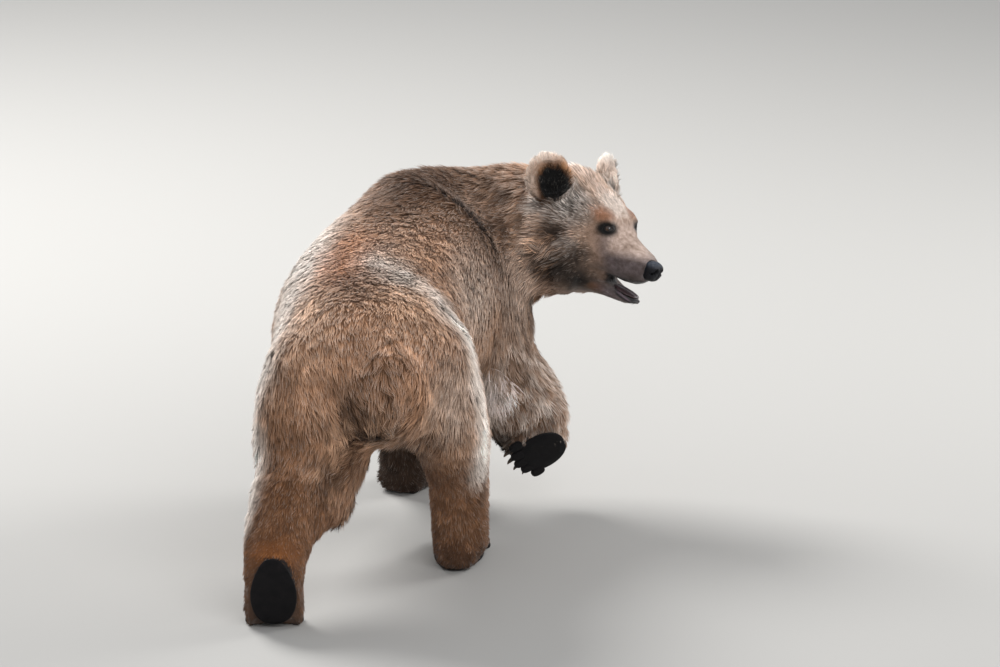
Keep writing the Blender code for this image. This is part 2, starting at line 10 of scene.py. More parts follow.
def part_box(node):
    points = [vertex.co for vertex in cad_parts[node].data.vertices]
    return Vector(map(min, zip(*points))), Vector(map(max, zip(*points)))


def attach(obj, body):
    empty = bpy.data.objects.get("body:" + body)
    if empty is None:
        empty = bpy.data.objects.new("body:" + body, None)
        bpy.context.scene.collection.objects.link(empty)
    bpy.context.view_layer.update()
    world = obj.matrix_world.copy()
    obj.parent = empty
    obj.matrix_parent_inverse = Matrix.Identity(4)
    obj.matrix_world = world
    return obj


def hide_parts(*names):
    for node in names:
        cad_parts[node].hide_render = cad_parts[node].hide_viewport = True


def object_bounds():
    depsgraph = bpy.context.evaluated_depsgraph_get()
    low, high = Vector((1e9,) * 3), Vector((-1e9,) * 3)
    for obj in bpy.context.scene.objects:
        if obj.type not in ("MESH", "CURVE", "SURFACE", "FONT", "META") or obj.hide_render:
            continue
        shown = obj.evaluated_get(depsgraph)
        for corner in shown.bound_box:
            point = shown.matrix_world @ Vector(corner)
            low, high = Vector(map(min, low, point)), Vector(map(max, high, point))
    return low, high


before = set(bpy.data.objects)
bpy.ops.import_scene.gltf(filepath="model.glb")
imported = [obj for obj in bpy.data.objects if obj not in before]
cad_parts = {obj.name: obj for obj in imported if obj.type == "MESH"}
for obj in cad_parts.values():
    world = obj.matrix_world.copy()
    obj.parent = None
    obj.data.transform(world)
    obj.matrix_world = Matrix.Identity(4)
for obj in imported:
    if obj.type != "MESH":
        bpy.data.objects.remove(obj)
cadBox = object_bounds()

scene = bpy.context.scene
rng = np.random.default_rng(7)
upwards = np.array([0, 0, 1.0])

bareNames = ("eye_", "claw_", "sole_", "nose_pad", "tongue")
fleshNodes = sorted(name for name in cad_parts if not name.startswith(bareNames))
soleNodes = sorted(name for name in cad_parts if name.startswith("sole_"))


# small helpers for arrays of points
def unit(vectors):
    vectors = np.asarray(vectors, float)
    size = np.linalg.norm(vectors, axis=-1, keepdims=True)
    return vectors / np.maximum(size, 1e-12)


def sizeOf(rows):
    return np.linalg.norm(rows, axis=1)


def squareTo(axis, vector):
    return unit(vector - axis * (vector @ axis))


def alongSurface(ways, normals):
    return unit(ways - normals * (ways * normals).sum(1)[:, None])


def smooth(value, start, end):
    t = np.clip((np.asarray(value, float) - start) / (end - start), 0, 1)
    return t * t * (3 - 2 * t)


def blob(points, centre, radius):  # 1 at the centre, 0 past the radius
    far = sizeOf((points - np.asarray(centre)) / np.asarray(radius))
    return smooth(far, 1, 0)


def nearPath(points, path, radius):  # 1 along a path through several places, 0 past the radius
    far = np.full(len(points), np.inf)
    for start, end in zip(path[:-1], path[1:]):
        way = end - start
        share = np.clip((points - start) @ way / (way @ way), 0, 1)
        far = np.minimum(far, sizeOf(points - start - share[:, None] * way))
    return smooth(far, radius, radius * 0.2)


def inBox(box, *share):  # a place in a box, each side as 0 to 1
    low, high = (np.array(corner) for corner in box)
    return low + (high - low) * np.array(share)


def inBody(*share):
    return inBox(cadBox, *share)


def pathOf(places):
    return [inBody(*place) for place in places]


def clawsOf(place):
    return [f"claw_{place}_{k}" for k in range(1, 6)]


def middleOf(name):
    low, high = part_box(name)
    return np.array((low + high) / 2)


def meanOf(names):
    return np.mean([middleOf(name) for name in names], axis=0)


def nearestIn(places, points):  # for each point, which place is nearest
    tree = KDTree(len(places))
    for i, place in enumerate(places):
        tree.insert(place, i)
    tree.balance()
    return [tree.find(p)[1] for p in points]


def takeRows(table, rows):
    return {word: values[rows] for word, values in table.items()}


def noiseAt(points, scale, shift=0.0, octaves=2):  # smooth noise, about -1 to 1, at a size in metres
    offset = Vector((shift, shift * 1.7, -shift))
    return np.array([noise.fractal(Vector(p) / scale + offset, 1.0, 2.0, octaves) for p in points])


# the head's own axes: x forward, y to its left, z up, in the head's own centimetres
headFit = {"eyeForward": 10.1, "eyeUp": 3.0, "noseForward": 22.0, "noseUp": -6.1}


def findHead():
    right, left, nose = (middleOf(name) for name in ("eye_right", "eye_left", "nose_pad"))
    across = unit(left - right)
    between = (left + right) / 2
    slope = nose - between
    slope = slope - across * (slope @ across)
    ahead = headFit["noseForward"] - headFit["eyeForward"]
    below = headFit["eyeUp"] - headFit["noseUp"]
    size = np.linalg.norm(slope) / math.hypot(ahead, below)
    along = unit(slope)
    over = np.cross(along, across)
    turn = math.atan2(below, ahead)
    forward = math.cos(turn) * along + math.sin(turn) * over
    up = math.cos(turn) * over - math.sin(turn) * along
    origin = between - (forward * headFit["eyeForward"] + up * headFit["eyeUp"]) * size
    return origin, np.array([forward, across, up]), size


headOrigin, headAxes, headSize = findHead()


def toHead(points):
    return (np.asarray(points) - headOrigin) @ headAxes.T / headSize


def fromHead(points):
    return np.asarray(points) @ headAxes * headSize + headOrigin


def mirror(local):  # both sides of the head laid on one
    return local * (1, 0, 1) + (0, 1, 0) * np.abs(local)


def headWay(vector):
    return unit(np.asarray(vector, float) @ headAxes)


# shader maths written as Python expressions
class Wire:
    def __init__(self, finish, socket):
        self.finish, self.socket = finish, socket

    def maths(self, operation, other):
        return self.finish.add("ShaderNodeMath", {"operation": operation}, {0: self, 1: other})

    def __add__(self, other):
        return self.maths("ADD", other)

    def __mul__(self, other):
        return self.maths("MULTIPLY", other)

    def span(self, start, end, low=0.0, high=1.0):
        inputs = {"Value": self, "From Min": start, "From Max": end, "To Min": low, "To Max": high}
        return self.finish.add("ShaderNodeMapRange", {"clamp": True}, inputs)


class Finish:
    def __init__(self, name, roughness=0.6, specular=0.4, **fixed):
        self.material = bpy.data.materials.new(name)
        self.material.use_nodes = True
        self.tree = self.material.node_tree
        self.shader = self.tree.nodes["Principled BSDF"]
        self.set("Roughness", roughness)
        self.set("Specular IOR Level", specular)
        for socket, value in fixed.items():
            self.set(socket.replace("_", " "), value)

    def set(self, socket, value):
        if isinstance(value, Wire):
            self.tree.links.new(value.socket, self.shader.inputs[socket])
        else:
            self.shader.inputs[socket].default_value = (*value, 1) if isinstance(value, tuple) else value

    def add(self, kind, settings, inputs, output=0):
        node = self.tree.nodes.new(kind)
        for word, value in settings.items():
            setattr(node, word, value)
        for socket, value in inputs.items():
            if isinstance(value, Wire):
                self.tree.links.new(value.socket, node.inputs[socket])
            else:
                isColour = kind == "ShaderNodeMix" and isinstance(value, tuple)
                node.inputs[socket].default_value = (*value, 1) if isColour else value
        return Wire(self, node.outputs[output])

    def attribute(self, name, output="Fac"):
        return self.add("ShaderNodeAttribute", {"attribute_name": name}, {}, output)

    def place(self):
        return self.add("ShaderNodeTexCoord", {}, {}, "Object")

    def noise(self, scale, detail=3.0, roughness=0.5, stretch=None):
        at = self.place()
        if stretch:
            at = self.add("ShaderNodeMapping", {}, {"Vector": at, "Scale": stretch})
        inputs = {"Vector": at, "Scale": scale, "Detail": detail, "Roughness": roughness}
        return self.add("ShaderNodeTexNoise", {}, inputs, "Fac")

    def cells(self, scale, feature="F1"):
        inputs = {"Vector": self.place(), "Scale": scale}
        return self.add("ShaderNodeTexVoronoi", {"feature": feature}, inputs, "Distance")

    def mix(self, share, first, second, blend="MIX"):
        settings = {"data_type": "RGBA", "blend_type": blend, "clamp_factor": True}
        return self.add("ShaderNodeMix", settings, {0: share, 6: first, 7: second}, 2)

    def blend(self, wire, first, second):  # from a noise's low to its high places
        return self.mix(wire.span(0.3, 0.7), first, second)

    def roughen(self, wire, low, high):
        self.set("Roughness", wire.span(0.3, 0.7, low, high))

    def bump(self, height, distance, strength):
        inputs = {"Height": height, "Distance": distance, "Strength": strength}
        self.set("Normal", self.add("ShaderNodeBump", {}, inputs, "Normal"))


# meshes in and out of arrays
def fetch(items, word, width=3, kind=np.float32):
    values = np.empty(len(items) * width, kind)
    items.foreach_get(word, values)
    return values.reshape(-1, width)


def readPoints(mesh):
    return fetch(mesh.vertices, "co").astype(float)


def readNormals(mesh):
    return fetch(mesh.vertex_normals, "vector").astype(float)


def readEdges(mesh):
    return fetch(mesh.edges, "vertices", 2, np.int32)


def readTriangles(mesh):
    mesh.calc_loop_triangles()
    triangles = mesh.loop_triangles
    return fetch(triangles, "vertices", 3, np.int32), fetch(triangles, "loops", 3, np.int32)


def writePoints(mesh, points):
    mesh.vertices.foreach_set("co", np.ascontiguousarray(points, np.float32).ravel())
    mesh.update()


def areasOf(corners):
    sides = np.cross(corners[:, 1] - corners[:, 0], corners[:, 2] - corners[:, 0])
    return sizeOf(sides) / 2


def spotsIn(count):  # shares of a triangle's corners at random places in it
    a, b = np.sqrt(rng.random(count)), rng.random(count)
    return np.stack([1 - a, a * (1 - b), a * b], 1)


def linked(name, data):
    made = bpy.data.objects.new(name, data)
    scene.collection.objects.link(made)
    return made


def addObject(name, points, faces):
    mesh = bpy.data.meshes.new(name)
    mesh.from_pydata([tuple(p) for p in points], [], [tuple(int(i) for i in f) for f in faces])
    mesh.update()
    return linked(name, mesh)


def editMesh(mesh, change):
    work = bmesh.new()
    work.from_mesh(mesh)
    work.verts.ensure_lookup_table()
    change(work)
    work.to_mesh(mesh)
    work.free()


def faceOutwards(made):
    editMesh(made.data, lambda work: bmesh.ops.recalc_face_normals(work, faces=work.faces))
    made.data.shade_smooth()


def tubeFaces(rings, sides, start=0):
    faces = []
    for ring in range(rings - 1):
        for side in range(sides):
            a, b = start + ring * sides + side, start + ring * sides + (side + 1) % sides
            faces.append((a, b, b + sides, a + sides))
    return faces


def fit(piece, finish, slot, *nodes):  # a finished piece on the body, in place of its nodes
    piece.data.materials.append(finish)
    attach(piece, "root")
    if nodes:
        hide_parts(*nodes)


def settle(made):  # the modifiers' result becomes the object's own mesh
    graph = bpy.context.evaluated_depsgraph_get()
    mesh = bpy.data.meshes.new_from_object(made.evaluated_get(graph))
    made.modifiers.clear()
    old = made.data
    made.data = mesh
    bpy.data.meshes.remove(old)
    mesh.name = made.name
    return made


def paint(mesh, name, values):
    values = np.asarray(values, np.float32)
    if values.ndim == 1:
        layer = mesh.attributes.new(name, "FLOAT", "POINT")
        layer.data.foreach_set("value", values)
    else:
        layer = mesh.attributes.new(name, "FLOAT_COLOR", "POINT")
        full = np.ones((len(values), 4), np.float32)
        full[:, :3] = values
        layer.data.foreach_set("color", full.ravel())


def relax(points, edges, rounds, free=1.0, taubin=True):  # taubin keeps the volume
    count = np.maximum(np.bincount(edges.ravel(), minlength=len(points)), 1).astype(float)[:, None]
    free = np.broadcast_to(np.asarray(free, float).reshape(-1, 1), (len(points), 1))
    for step in range(rounds * (2 if taubin else 1)):
        total = np.zeros_like(points)
        for axis in range(points.shape[1]):
            total[:, axis] += np.bincount(edges[:, 0], points[edges[:, 1], axis], len(points))
            total[:, axis] += np.bincount(edges[:, 1], points[edges[:, 0], axis], len(points))
        pull = 0.5 if not taubin or step % 2 == 0 else -0.52
        points = points + pull * free * (total / count - points)
    return points


def even(points, edges, rounds, free=1.0):
    return relax(points, edges, rounds, free, taubin=False)


def largestBody(count, edges):
    label = np.arange(count)
    while True:
        low = np.minimum(label[edges[:, 0]], label[edges[:, 1]])
        new = label.copy()
        np.minimum.at(new, edges[:, 0], low)
        np.minimum.at(new, edges[:, 1], low)
        new = new[new]
        if (new == label).all():
            break
        label = new
    return label == np.bincount(label).argmax()


# the shell of several CAD nodes as one closed form
def fuse(name, nodes, voxel, growth):
    points, faces = [], []
    for node in nodes:
        work = bmesh.new()
        work.from_mesh(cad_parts[node].data)
        bmesh.ops.remove_doubles(work, verts=work.verts, dist=0.00001)
        work.normal_update()
        work.verts.index_update()
        start = len(points)
        points += [v.co + v.normal * growth for v in work.verts]
        faces += [[start + v.index for v in face.verts] for face in work.faces]
        work.free()
    made = addObject(name, points, faces)
    remesh = made.modifiers.new("fuse", "REMESH")
    remesh.mode = "VOXEL"
    remesh.voxel_size = voxel
    settle(made)
    stray = ~largestBody(len(made.data.vertices), readEdges(made.data))

    def dropStray(work):
        bmesh.ops.delete(work, geom=[work.verts[i] for i in np.flatnonzero(stray)], context="VERTS")

    if stray.any():
        editMesh(made.data, dropStray)
    return made


# how the coat lies on each part of the body: the skin's depth under the coat's tips, the length and
# width of a tuft in metres, tufts to a square centimetre, the lift in degrees, how unruly it is
coat = {
    "hips": (0.021, 0.050, 0.0029, 3.75, 19, 0.26),
    "barrel": (0.021, 0.050, 0.0029, 3.5, 19, 0.26),
    "chest": (0.022, 0.052, 0.0029, 3.6, 20, 0.30),
    "neck": (0.022, 0.052, 0.0029, 3.6, 22, 0.42),
    "tail": (0.018, 0.054, 0.0030, 3.6, 24, 0.6),
    "thigh": (0.021, 0.050, 0.0029, 3.7, 21, 0.35),
    "shank": (0.013, 0.036, 0.0027, 4.4, 20, 0.3),
    "hind_foot": (0.007, 0.022, 0.0024, 5.2, 20, 0.3),
    "upper_arm": (0.021, 0.050, 0.0029, 3.7, 22, 0.36),
    "forearm": (0.019, 0.048, 0.0028, 3.8, 23, 0.42),
    "forepaw": (0.008, 0.026, 0.0024, 5.4, 22, 0.35),
    "head": (0.012, 0.030, 0.0026, 5.0, 22, 0.35),
    "jaw": (0.004, 0.015, 0.0018, 9.0, 18, 0.3),
    "ear": (0.004, 0.022, 0.0019, 9.0, 32, 0.6),
    "sole": (0.006, 0.012, 0.0022, 5.0, 20, 0.3),
}
coatWords = ("depth", "length", "width", "density", "lift", "wild")


def coatOf(node):
    return next(values for start, values in coat.items() if node.startswith(start))


# which way the hair points on each part, as the way from one part to another
streams = {
    "neck": ("head", "barrel", -0.30),
    "chest": ("neck", "barrel", -0.30),
    "barrel": ("chest", "hips", -0.25),
    "hips": ("barrel", "tail", -0.45),
    "tail": ("hips", "tail", -1.0),
}
limbs = (("thigh", "shank", "hind_foot", "hind"), ("upper_arm", "forearm", "forepaw", "fore"))


def streamOf(node):
    if node in streams:
        start, end, drop = streams[node]
        way = middleOf(end) - middleOf(start)
        return unit(unit(way) + np.array([0, 0, drop]))
    for *parts, toes in limbs:
        for place, part in enumerate(parts):
            for side in ("left", "right"):
                if node == f"{part}_{side}":
                    claws = meanOf(clawsOf(f"{toes}_{side}"))
                    ends = [middleOf(f"{p}_{side}") for p in parts] + [claws]
                    return unit(ends[place + 1] - ends[place])
    if node.startswith("ear"):
        side = 1 if node == "ear_left" else -1
        return headWay((-0.1, 0.34 * side, 1))
    return headWay((-1, 0, -0.1))


def shaggyPlaces():  # where the coat is long and loose: middle, reach, times as long, lift added, unruliness
    cheek = [fromHead(np.array([place]))[0] for place in ((-3.0, -12.0, -5.0), (-3.0, 12.0, -5.0))]
    return [
        (inBody(0.33, 0.05, 0.60), (0.11, 0.10, 0.15), 1.25, 9, 0.9),
        (inBody(0.27, 0.08, 0.46), (0.14, 0.14, 0.18), 1.35, 10, 1.0),
        (inBody(0.42, 0.18, 0.42), (0.12, 0.16, 0.16), 1.25, 7, 0.8),
        (inBody(0.28, 0.25, 0.81), (0.13, 0.16, 0.12), 0.95, 7, 0.6),
        (inBody(0.42, 0.62, 0.85), (0.16, 0.22, 0.14), 1.0, 6, 0.7),
        (inBody(0.57, 0.69, 0.38), (0.050, 0.060, 0.050), 1.4, 12, 1.0),
        (inBody(0.64, 0.72, 0.24), (0.12, 0.10, 0.05), 0.8, 0, 0.6),
        *[(place, (0.08, 0.08, 0.11), 1.3, 9, 1.0) for place in cheek],
    ]


def labelSkin(points):
    names = fleshNodes + soleNodes
    found, owner = [], []
    for number, name in enumerate(names):
        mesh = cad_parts[name].data
        corners = readPoints(mesh)[readTriangles(mesh)[0]]
        area = areasOf(corners)
        count = int(area.sum() / 0.0001) + 50
        pick = rng.choice(len(area), count, p=area / area.sum())
        share = spotsIn(count)
        found.append((corners[pick] * share[:, :, None]).sum(1))
        owner.append(np.full(count, number))
    found, owner = np.vstack(found), np.concatenate(owner)
    return owner[nearestIn(found, points)], names


# the parts of the face, in the head's own centimetres
face = {
    "eye": (10.1, 5.15, 3.0),
    "ballRadius": 1.18,
    "lidHalf": (1.02, 0.60),  # half the opening between the lids, along and up
    "lidReach": 3.2,
    "fineReach": 3.4,  # the skin is split once this near an eye
    "finestReach": 2.6,  # and twice this near
    "jawTop": (9.35, -11.0, -0.40),  # where the jaw's upper edge starts, its height there and its slope
    "earSize": (3.0, 6.5),  # its depth and half its height
}
headPlan = {  # the coat's depth at the back of the head, its front, the muzzle, the eyes and the cheeks
    "back": 0.020,
    "front": 0.011,
    "muzzle": 0.0028,
    "eye": 0.0025,
    "cheek": 0.008,
    "lengths": (0.0095, 0.052),
    "widths": (0.0014, 0.0029),
}


def headDepth(local):  # the coat's depth on the head, in metres
    muzzle = smooth(local[:, 0], 6.5, 13.5)
    depth = headPlan["back"] + (headPlan["front"] - headPlan["back"]) * smooth(local[:, 0], -6, 6)
    depth = depth + (headPlan["muzzle"] - depth) * muzzle
    for side in (-1, 1):
        fx, fy, fz = face["eye"]
        eye = blob(local, (fx + 0.5, fy * side * 1.1, fz), 5.5)
        depth = depth + (headPlan["eye"] - depth) * eye
    cheek = blob(mirror(local), (-3, 11, -8), (11, 9, 11))
    return depth + headPlan["cheek"] * cheek


def headCoat(local):  # length, width, density, lift and unruliness over the head
    depth = headDepth(local)
    length = np.clip(depth * 2.4, *headPlan["lengths"])
    width = np.clip(0.0011 + length * 0.038, *headPlan["widths"])
    density = 4.2 + 6.5 * smooth(depth, 0.011, 0.003)
    lift = 13 + 9 * smooth(depth, 0.003, 0.016)
    cheek = blob(mirror(local), (-3, 11, -6), (9, 9, 12))
    wild = 0.18 + 0.75 * cheek
    return length, width, density, lift, wild


def headStream(local):  # hair runs back from the nose, up over the brow and down the cheeks
    x, y, z = local.T
    side = np.sign(y)
    back = np.stack([-np.ones(len(x)), np.zeros(len(x)), np.zeros(len(x))], 1)
    cheek = smooth(z, 4, -8) * smooth(x, 12, 0)
    back[:, 2] -= 0.9 * cheek
    back[:, 1] += 0.35 * side * smooth(np.abs(y), 0.5, 6) * smooth(x, 15, 4)
    back[:, 2] += 0.35 * smooth(z, 3, 9)
    return unit(back @ headAxes)


def earAxes(side):  # an ear's middle, and its own axes: out of its cup, across it and up it
    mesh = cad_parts["ear_right" if side < 0 else "ear_left"].data
    local = toHead(readPoints(mesh))
    opens = unit(np.array([0.66, side * 0.72, 0.18]))
    up = np.array([-0.10, side * 0.34, 1.0])
    up = squareTo(opens, up)
    across = np.cross(opens, up)
    wide = local @ across
    middle = opens * ((local @ opens).min() + face["earSize"][0]) + across * (wide.min() + wide.max()) / 2
    return middle + up * ((local @ up).max() - face["earSize"][1]), opens, across, up


def earPlace(local, side):  # where points are in an ear: out of its cup, and from its middle
    centre, opens, across, up = earAxes(side)
    offset = local - centre
    return offset @ opens, offset @ across, offset @ up


def earStream(local, side):  # fans up and out from the ear's root
    _, _, across, up = earAxes(side)
    _, wide, high = earPlace(local, side)
    fan = wide[:, None] * across + (high + 7.5)[:, None] * up
    return unit(fan @ headAxes)


print("making the skin")
skinPlan = {
    "voxel": 0.005,
    "growth": 0.0012,
    "bodyShare": 0.20,  # how many of the body's faces thinning leaves
    "headReach": 0.215,
    "footReach": 0.15,
    "foldReach": 0.15,
    "foldRounds": 260,
    "fillReach": 0.20,
    "fillRounds": 170,
    "evenRounds": 14,
    "lieRounds": 30,
    "floor": 0.0006,
}
shoulderFold = ((0.37, 0.81, 0.94), (0.50, 0.75, 0.91), (0.59, 0.72, 0.81), (0.61, 0.71, 0.70))


def makeSkin():
    nodes = fleshNodes + soleNodes + ["eye_left", "eye_right"]
    skin = fuse("skin", nodes, skinPlan["voxel"], skinPlan["growth"])
    points = readPoints(skin.data)
    edges = readEdges(skin.data)
    local = toHead(points)
    reach = skinPlan["headReach"] / headSize
    headness = smooth(sizeOf(local - (4, 0, 0)), reach, reach * 0.8)
    feet = np.zeros(len(points))
    for name in soleNodes:
        far = sizeOf(points - middleOf(name))
        feet = np.maximum(feet, smooth(far, skinPlan["footReach"], skinPlan["footReach"] * 0.75))
    fine = np.maximum(headness, feet)
    points = relax(points, edges, 6)
    points = relax(points, edges, 34, 1 - fine)
    fold = nearPath(points, pathOf(shoulderFold), skinPlan["foldReach"])
    # fills the fold where the neck meets the shoulder
    points = even(points, edges, skinPlan["foldRounds"], fold)
    writePoints(skin.data, points)
    group = skin.vertex_groups.new(name="fine")
    group.add(np.flatnonzero(fine > 0.05).tolist(), 1.0, "REPLACE")
    thin = skin.modifiers.new("thin", "DECIMATE")
    kept = np.mean(fine > 0.05)
    thin.ratio = kept + (1 - kept) * skinPlan["bodyShare"]
    print("skin", len(points), "points before thinning,", round(100 * kept), "percent fine")
    thin.vertex_group = group.name
    thin.invert_vertex_group = True
    settle(skin)
    skin.vertex_groups.clear()
    return skin


def refine(skin, wanted):  # splits the faces whose points are wanted
    marked = wanted(readPoints(skin.data))

    def split(work):
        faces = [f for f in work.faces if all(marked[v.index] for v in f.verts)]
        edges = list({e for f in faces for e in f.edges})
        bmesh.ops.subdivide_edges(work, edges=edges, cuts=1, use_grid_fill=True)
        bmesh.ops.triangulate(work, faces=[f for f in work.faces if len(f.verts) > 4])

    editMesh(skin.data, split)


def eyeAt(side):
    return np.array(face["eye"]) * (1, side, 1)


def nearEyes(local, reach):
    return np.min([sizeOf(local - eyeAt(side)) for side in (-1, 1)], 0) < reach


def aroundFace(points):
    local = toHead(points)
    x, _, z = local.T
    muzzle = (x > 8.5) & (z < 7) & (sizeOf(local - (16, 0, -6)) < 13)
    return muzzle | nearEyes(local, face["fineReach"])


def aroundEyes(points):
    return nearEyes(toHead(points), face["finestReach"])


# each eye's own axes: out of the head, along the lids, and up
def eyeAxes(side):
    out = unit(np.array([0.52, 0.84 * side, 0.10]))
    along = unit(np.cross(upwards, out)) * side  # towards the nose on both sides
    along = unit(along * -1 + np.array([0, 0, 0.10]))
    along = squareTo(out, along)
    up = np.cross(out, along)
    up = up * np.sign(up[2])
    return out, along, up


def shapeEyes(points):
    local = toHead(points)
    lidRim = np.zeros(len(points))
    for side in (-1, 1):
        centre = eyeAt(side)
        out, along, up = eyeAxes(side)
        offset = local - centre
        o, a, u = offset @ out, offset @ along, offset @ up
        far = sizeOf(offset)
        near = (far < face["lidReach"]) & (o > -0.6)
        radius = face["ballRadius"]
        # an almond between the lids, a little lower at the inner corner
        long, high = face["lidHalf"]
        lidShape = np.sqrt((a / long) ** 2 + ((u + 0.05 * a) / (high - 0.12 * np.abs(a))) ** 2)
        inside = smooth(lidShape, 1.06, 0.90)
        bed = radius - 0.30
        lid = radius + 0.12 + 0.16 * smooth(lidShape, 1.0, 1.35) * smooth(lidShape, 2.3, 1.4)
        hold = smooth(lidShape, 2.6, 1.15)
        target = inside * bed + (1 - inside) * lid
        way = unit(offset)
        shaped = centre + way * target[:, None]
        blend = np.where(near, hold, 0.0)[:, None]
        local = local * (1 - blend) + shaped * blend
        rim = smooth(np.abs(lidShape - 0.98), 0.30, 0.08) + inside
        lidRim = np.maximum(lidRim, np.where(near, np.clip(rim, 0, 1), 0))
    return fromHead(local), lidRim


faceForms = [  # middle, reach and how far it stands out, in the head's own centimetres
    ((18.4, 3.6, -7.6), (4.0, 3.0, 2.8), 0.30),
    ((13.2, 6.0, -5.5), (1.8, 3.5, 5.0), -0.30),
    ((8.8, 5.4, 6.0), (3.4, 3.2, 1.9), 0.55),
    ((12.2, 5.0, 0.6), (2.8, 2.4, 2.0), -0.30),
    ((9.8, 0.0, 5.4), (3.5, 1.4, 4.0), -0.35),
    ((16.4, 4.6, -2.6), (3.6, 2.2, 2.0), -0.22),
    ((5.5, 8.6, -3.8), (4.5, 4.0, 3.0), 0.35),
]


def shapeFace(points, normals):
    local = toHead(points)
    mirrored = mirror(local)
    out = np.zeros(len(points))
    for centre, reach, stands in faceForms:
        out += blob(mirrored, centre, reach) * stands
    return points + normals * (out * headSize)[:, None]


def lipAt(points):  # the bare lips and the inside of the mouth, and a thin pale line along the lower lip's edge, a painted reflection of light on the wet lip
    local = toHead(points)
    x, y, z = local.T
    start, height, slope = face["jawTop"]
    above = z - height - slope * (x - start)
    onMuzzle = sizeOf(local - (15, 0, -11)) < 9
    lower = 0.15 + 0.65 * smooth(x, 11.5, 15)
    inMouth = smooth(z, -8.7, -9.3) * smooth(above, -lower - 0.3, -lower + 0.1)
    inMouth = inMouth * smooth(x, 8.2, 9.4) * onMuzzle
    edge = smooth(np.abs(above + 0.30), 0.30, 0.10) * smooth(x, 12.5, 14.0) * smooth(np.abs(y), 1.4, 2.2)
    return inMouth, edge * inMouth


def dressSkin(skin):  # the coat's settings and its lie at every point of the skin, which then moves in
    refine(skin, aroundFace)
    refine(skin, aroundEyes)
    points = readPoints(skin.data)
    edges = readEdges(skin.data)
    owner, names = labelSkin(points)
    names = np.array(names)
    settings = {}
    for place, word in enumerate(coatWords):
        settings[word] = np.array([coatOf(name)[place] for name in names])[owner]
    onHead = names[owner] == "head"
    local = toHead(points)
    for word, values in zip(coatWords, (headDepth(local), *headCoat(local))):
        settings[word] = np.where(onHead, values, settings[word])
    uneven = np.stack([settings[word] for word in coatWords], 1)
    evened = even(uneven, edges, skinPlan["evenRounds"])
    settings = dict(zip(coatWords, evened.T))
    for centre, reach, longer, lift, wild in shaggyPlaces():
        share = blob(points, centre, reach)
        settings["length"] *= 1 + (longer - 1) * share
        settings["lift"] += lift * share
        settings["wild"] += (wild - settings["wild"]) * share
    ways = np.array([streamOf(name) for name in names])[owner]
    ways = np.where(onHead[:, None], headStream(local), ways)
    for side, name in ((-1, "ear_right"), (1, "ear_left")):
        mine = names[owner] == name
        ways[mine] = earStream(local[mine], side)
    normals = readNormals(skin.data)
    isEar = np.char.startswith(names[owner], "ear")
    for _ in range(6):
        ways = even(ways, edges, skinPlan["lieRounds"], 1 - isEar)
        ways = alongSurface(ways, normals)
    moved = points - normals * settings["depth"][:, None]
    fold = nearPath(points, pathOf(shoulderFold), skinPlan["fillReach"])
    filled = even(moved, edges, skinPlan["fillRounds"], fold)
    raised = smooth(((filled - moved) * normals).sum(1), -0.003, 0.003)[:, None]
    moved = even(moved + (filled - moved) * raised, edges, 8, fold)
    moved = relax(shapeFace(moved, normals), edges, 2)
    moved[:, 2] = np.maximum(moved[:, 2], skinPlan["floor"])
    moved, lidRim = shapeEyes(moved)
    writePoints(skin.data, moved)
    skin.data.shade_smooth()
    settings.update(way=ways, owner=names[owner], lidRim=lidRim)
    return settings


def unwrapSkin(skin):
    bpy.context.view_layer.objects.active = skin
    skin.select_set(True)
    skin.data.uv_layers.new(name="OFBake")
    bpy.ops.object.mode_set(mode="EDIT")
    bpy.ops.mesh.select_all(action="SELECT")
    bpy.ops.uv.smart_project(angle_limit=math.radians(70), island_margin=0.001)
    bpy.ops.object.mode_set(mode="OBJECT")
    skin.select_set(False)


# the coat's tones, as they look in daylight, 0 to 255; shade is painted shade, laid where shade falls on the
# coat, and cream is the hair's pale tips, also laid as a painted rim highlight along edges
tones = {
    "coat": (178, 136, 106),
    "hump": (64, 42, 27),
    "rust": (202, 132, 84),
    "whorl": (118, 86, 64),
    "tan": (226, 184, 152),
    "cream": (255, 245, 236),
    "moult": (248, 232, 226),
    "buttock": (82, 61, 45),
    "leg": (114, 78, 52),
    "heel": (158, 98, 50),
    "shade": (58, 44, 35),
    "shoulder": (100, 74, 57),
    "flank": (188, 166, 150),
    "arm": (154, 126, 106),
    "neck": (134, 110, 94),
    "head": (176, 150, 132),
    "brow": (158, 106, 74),
    "temple": (140, 132, 126),
    "dark": (32, 26, 22),
    "muzzle": (86, 81, 88),
    "muzzleTop": (218, 194, 180),
    "earRim": (196, 144, 102),
    "black": (9, 8, 8),
}


def tone(name):
    shade = np.array(tones[name]) / 255
    return np.where(shade > 0.04045, ((shade + 0.055) / 1.055) ** 2.4, shade / 12.92)


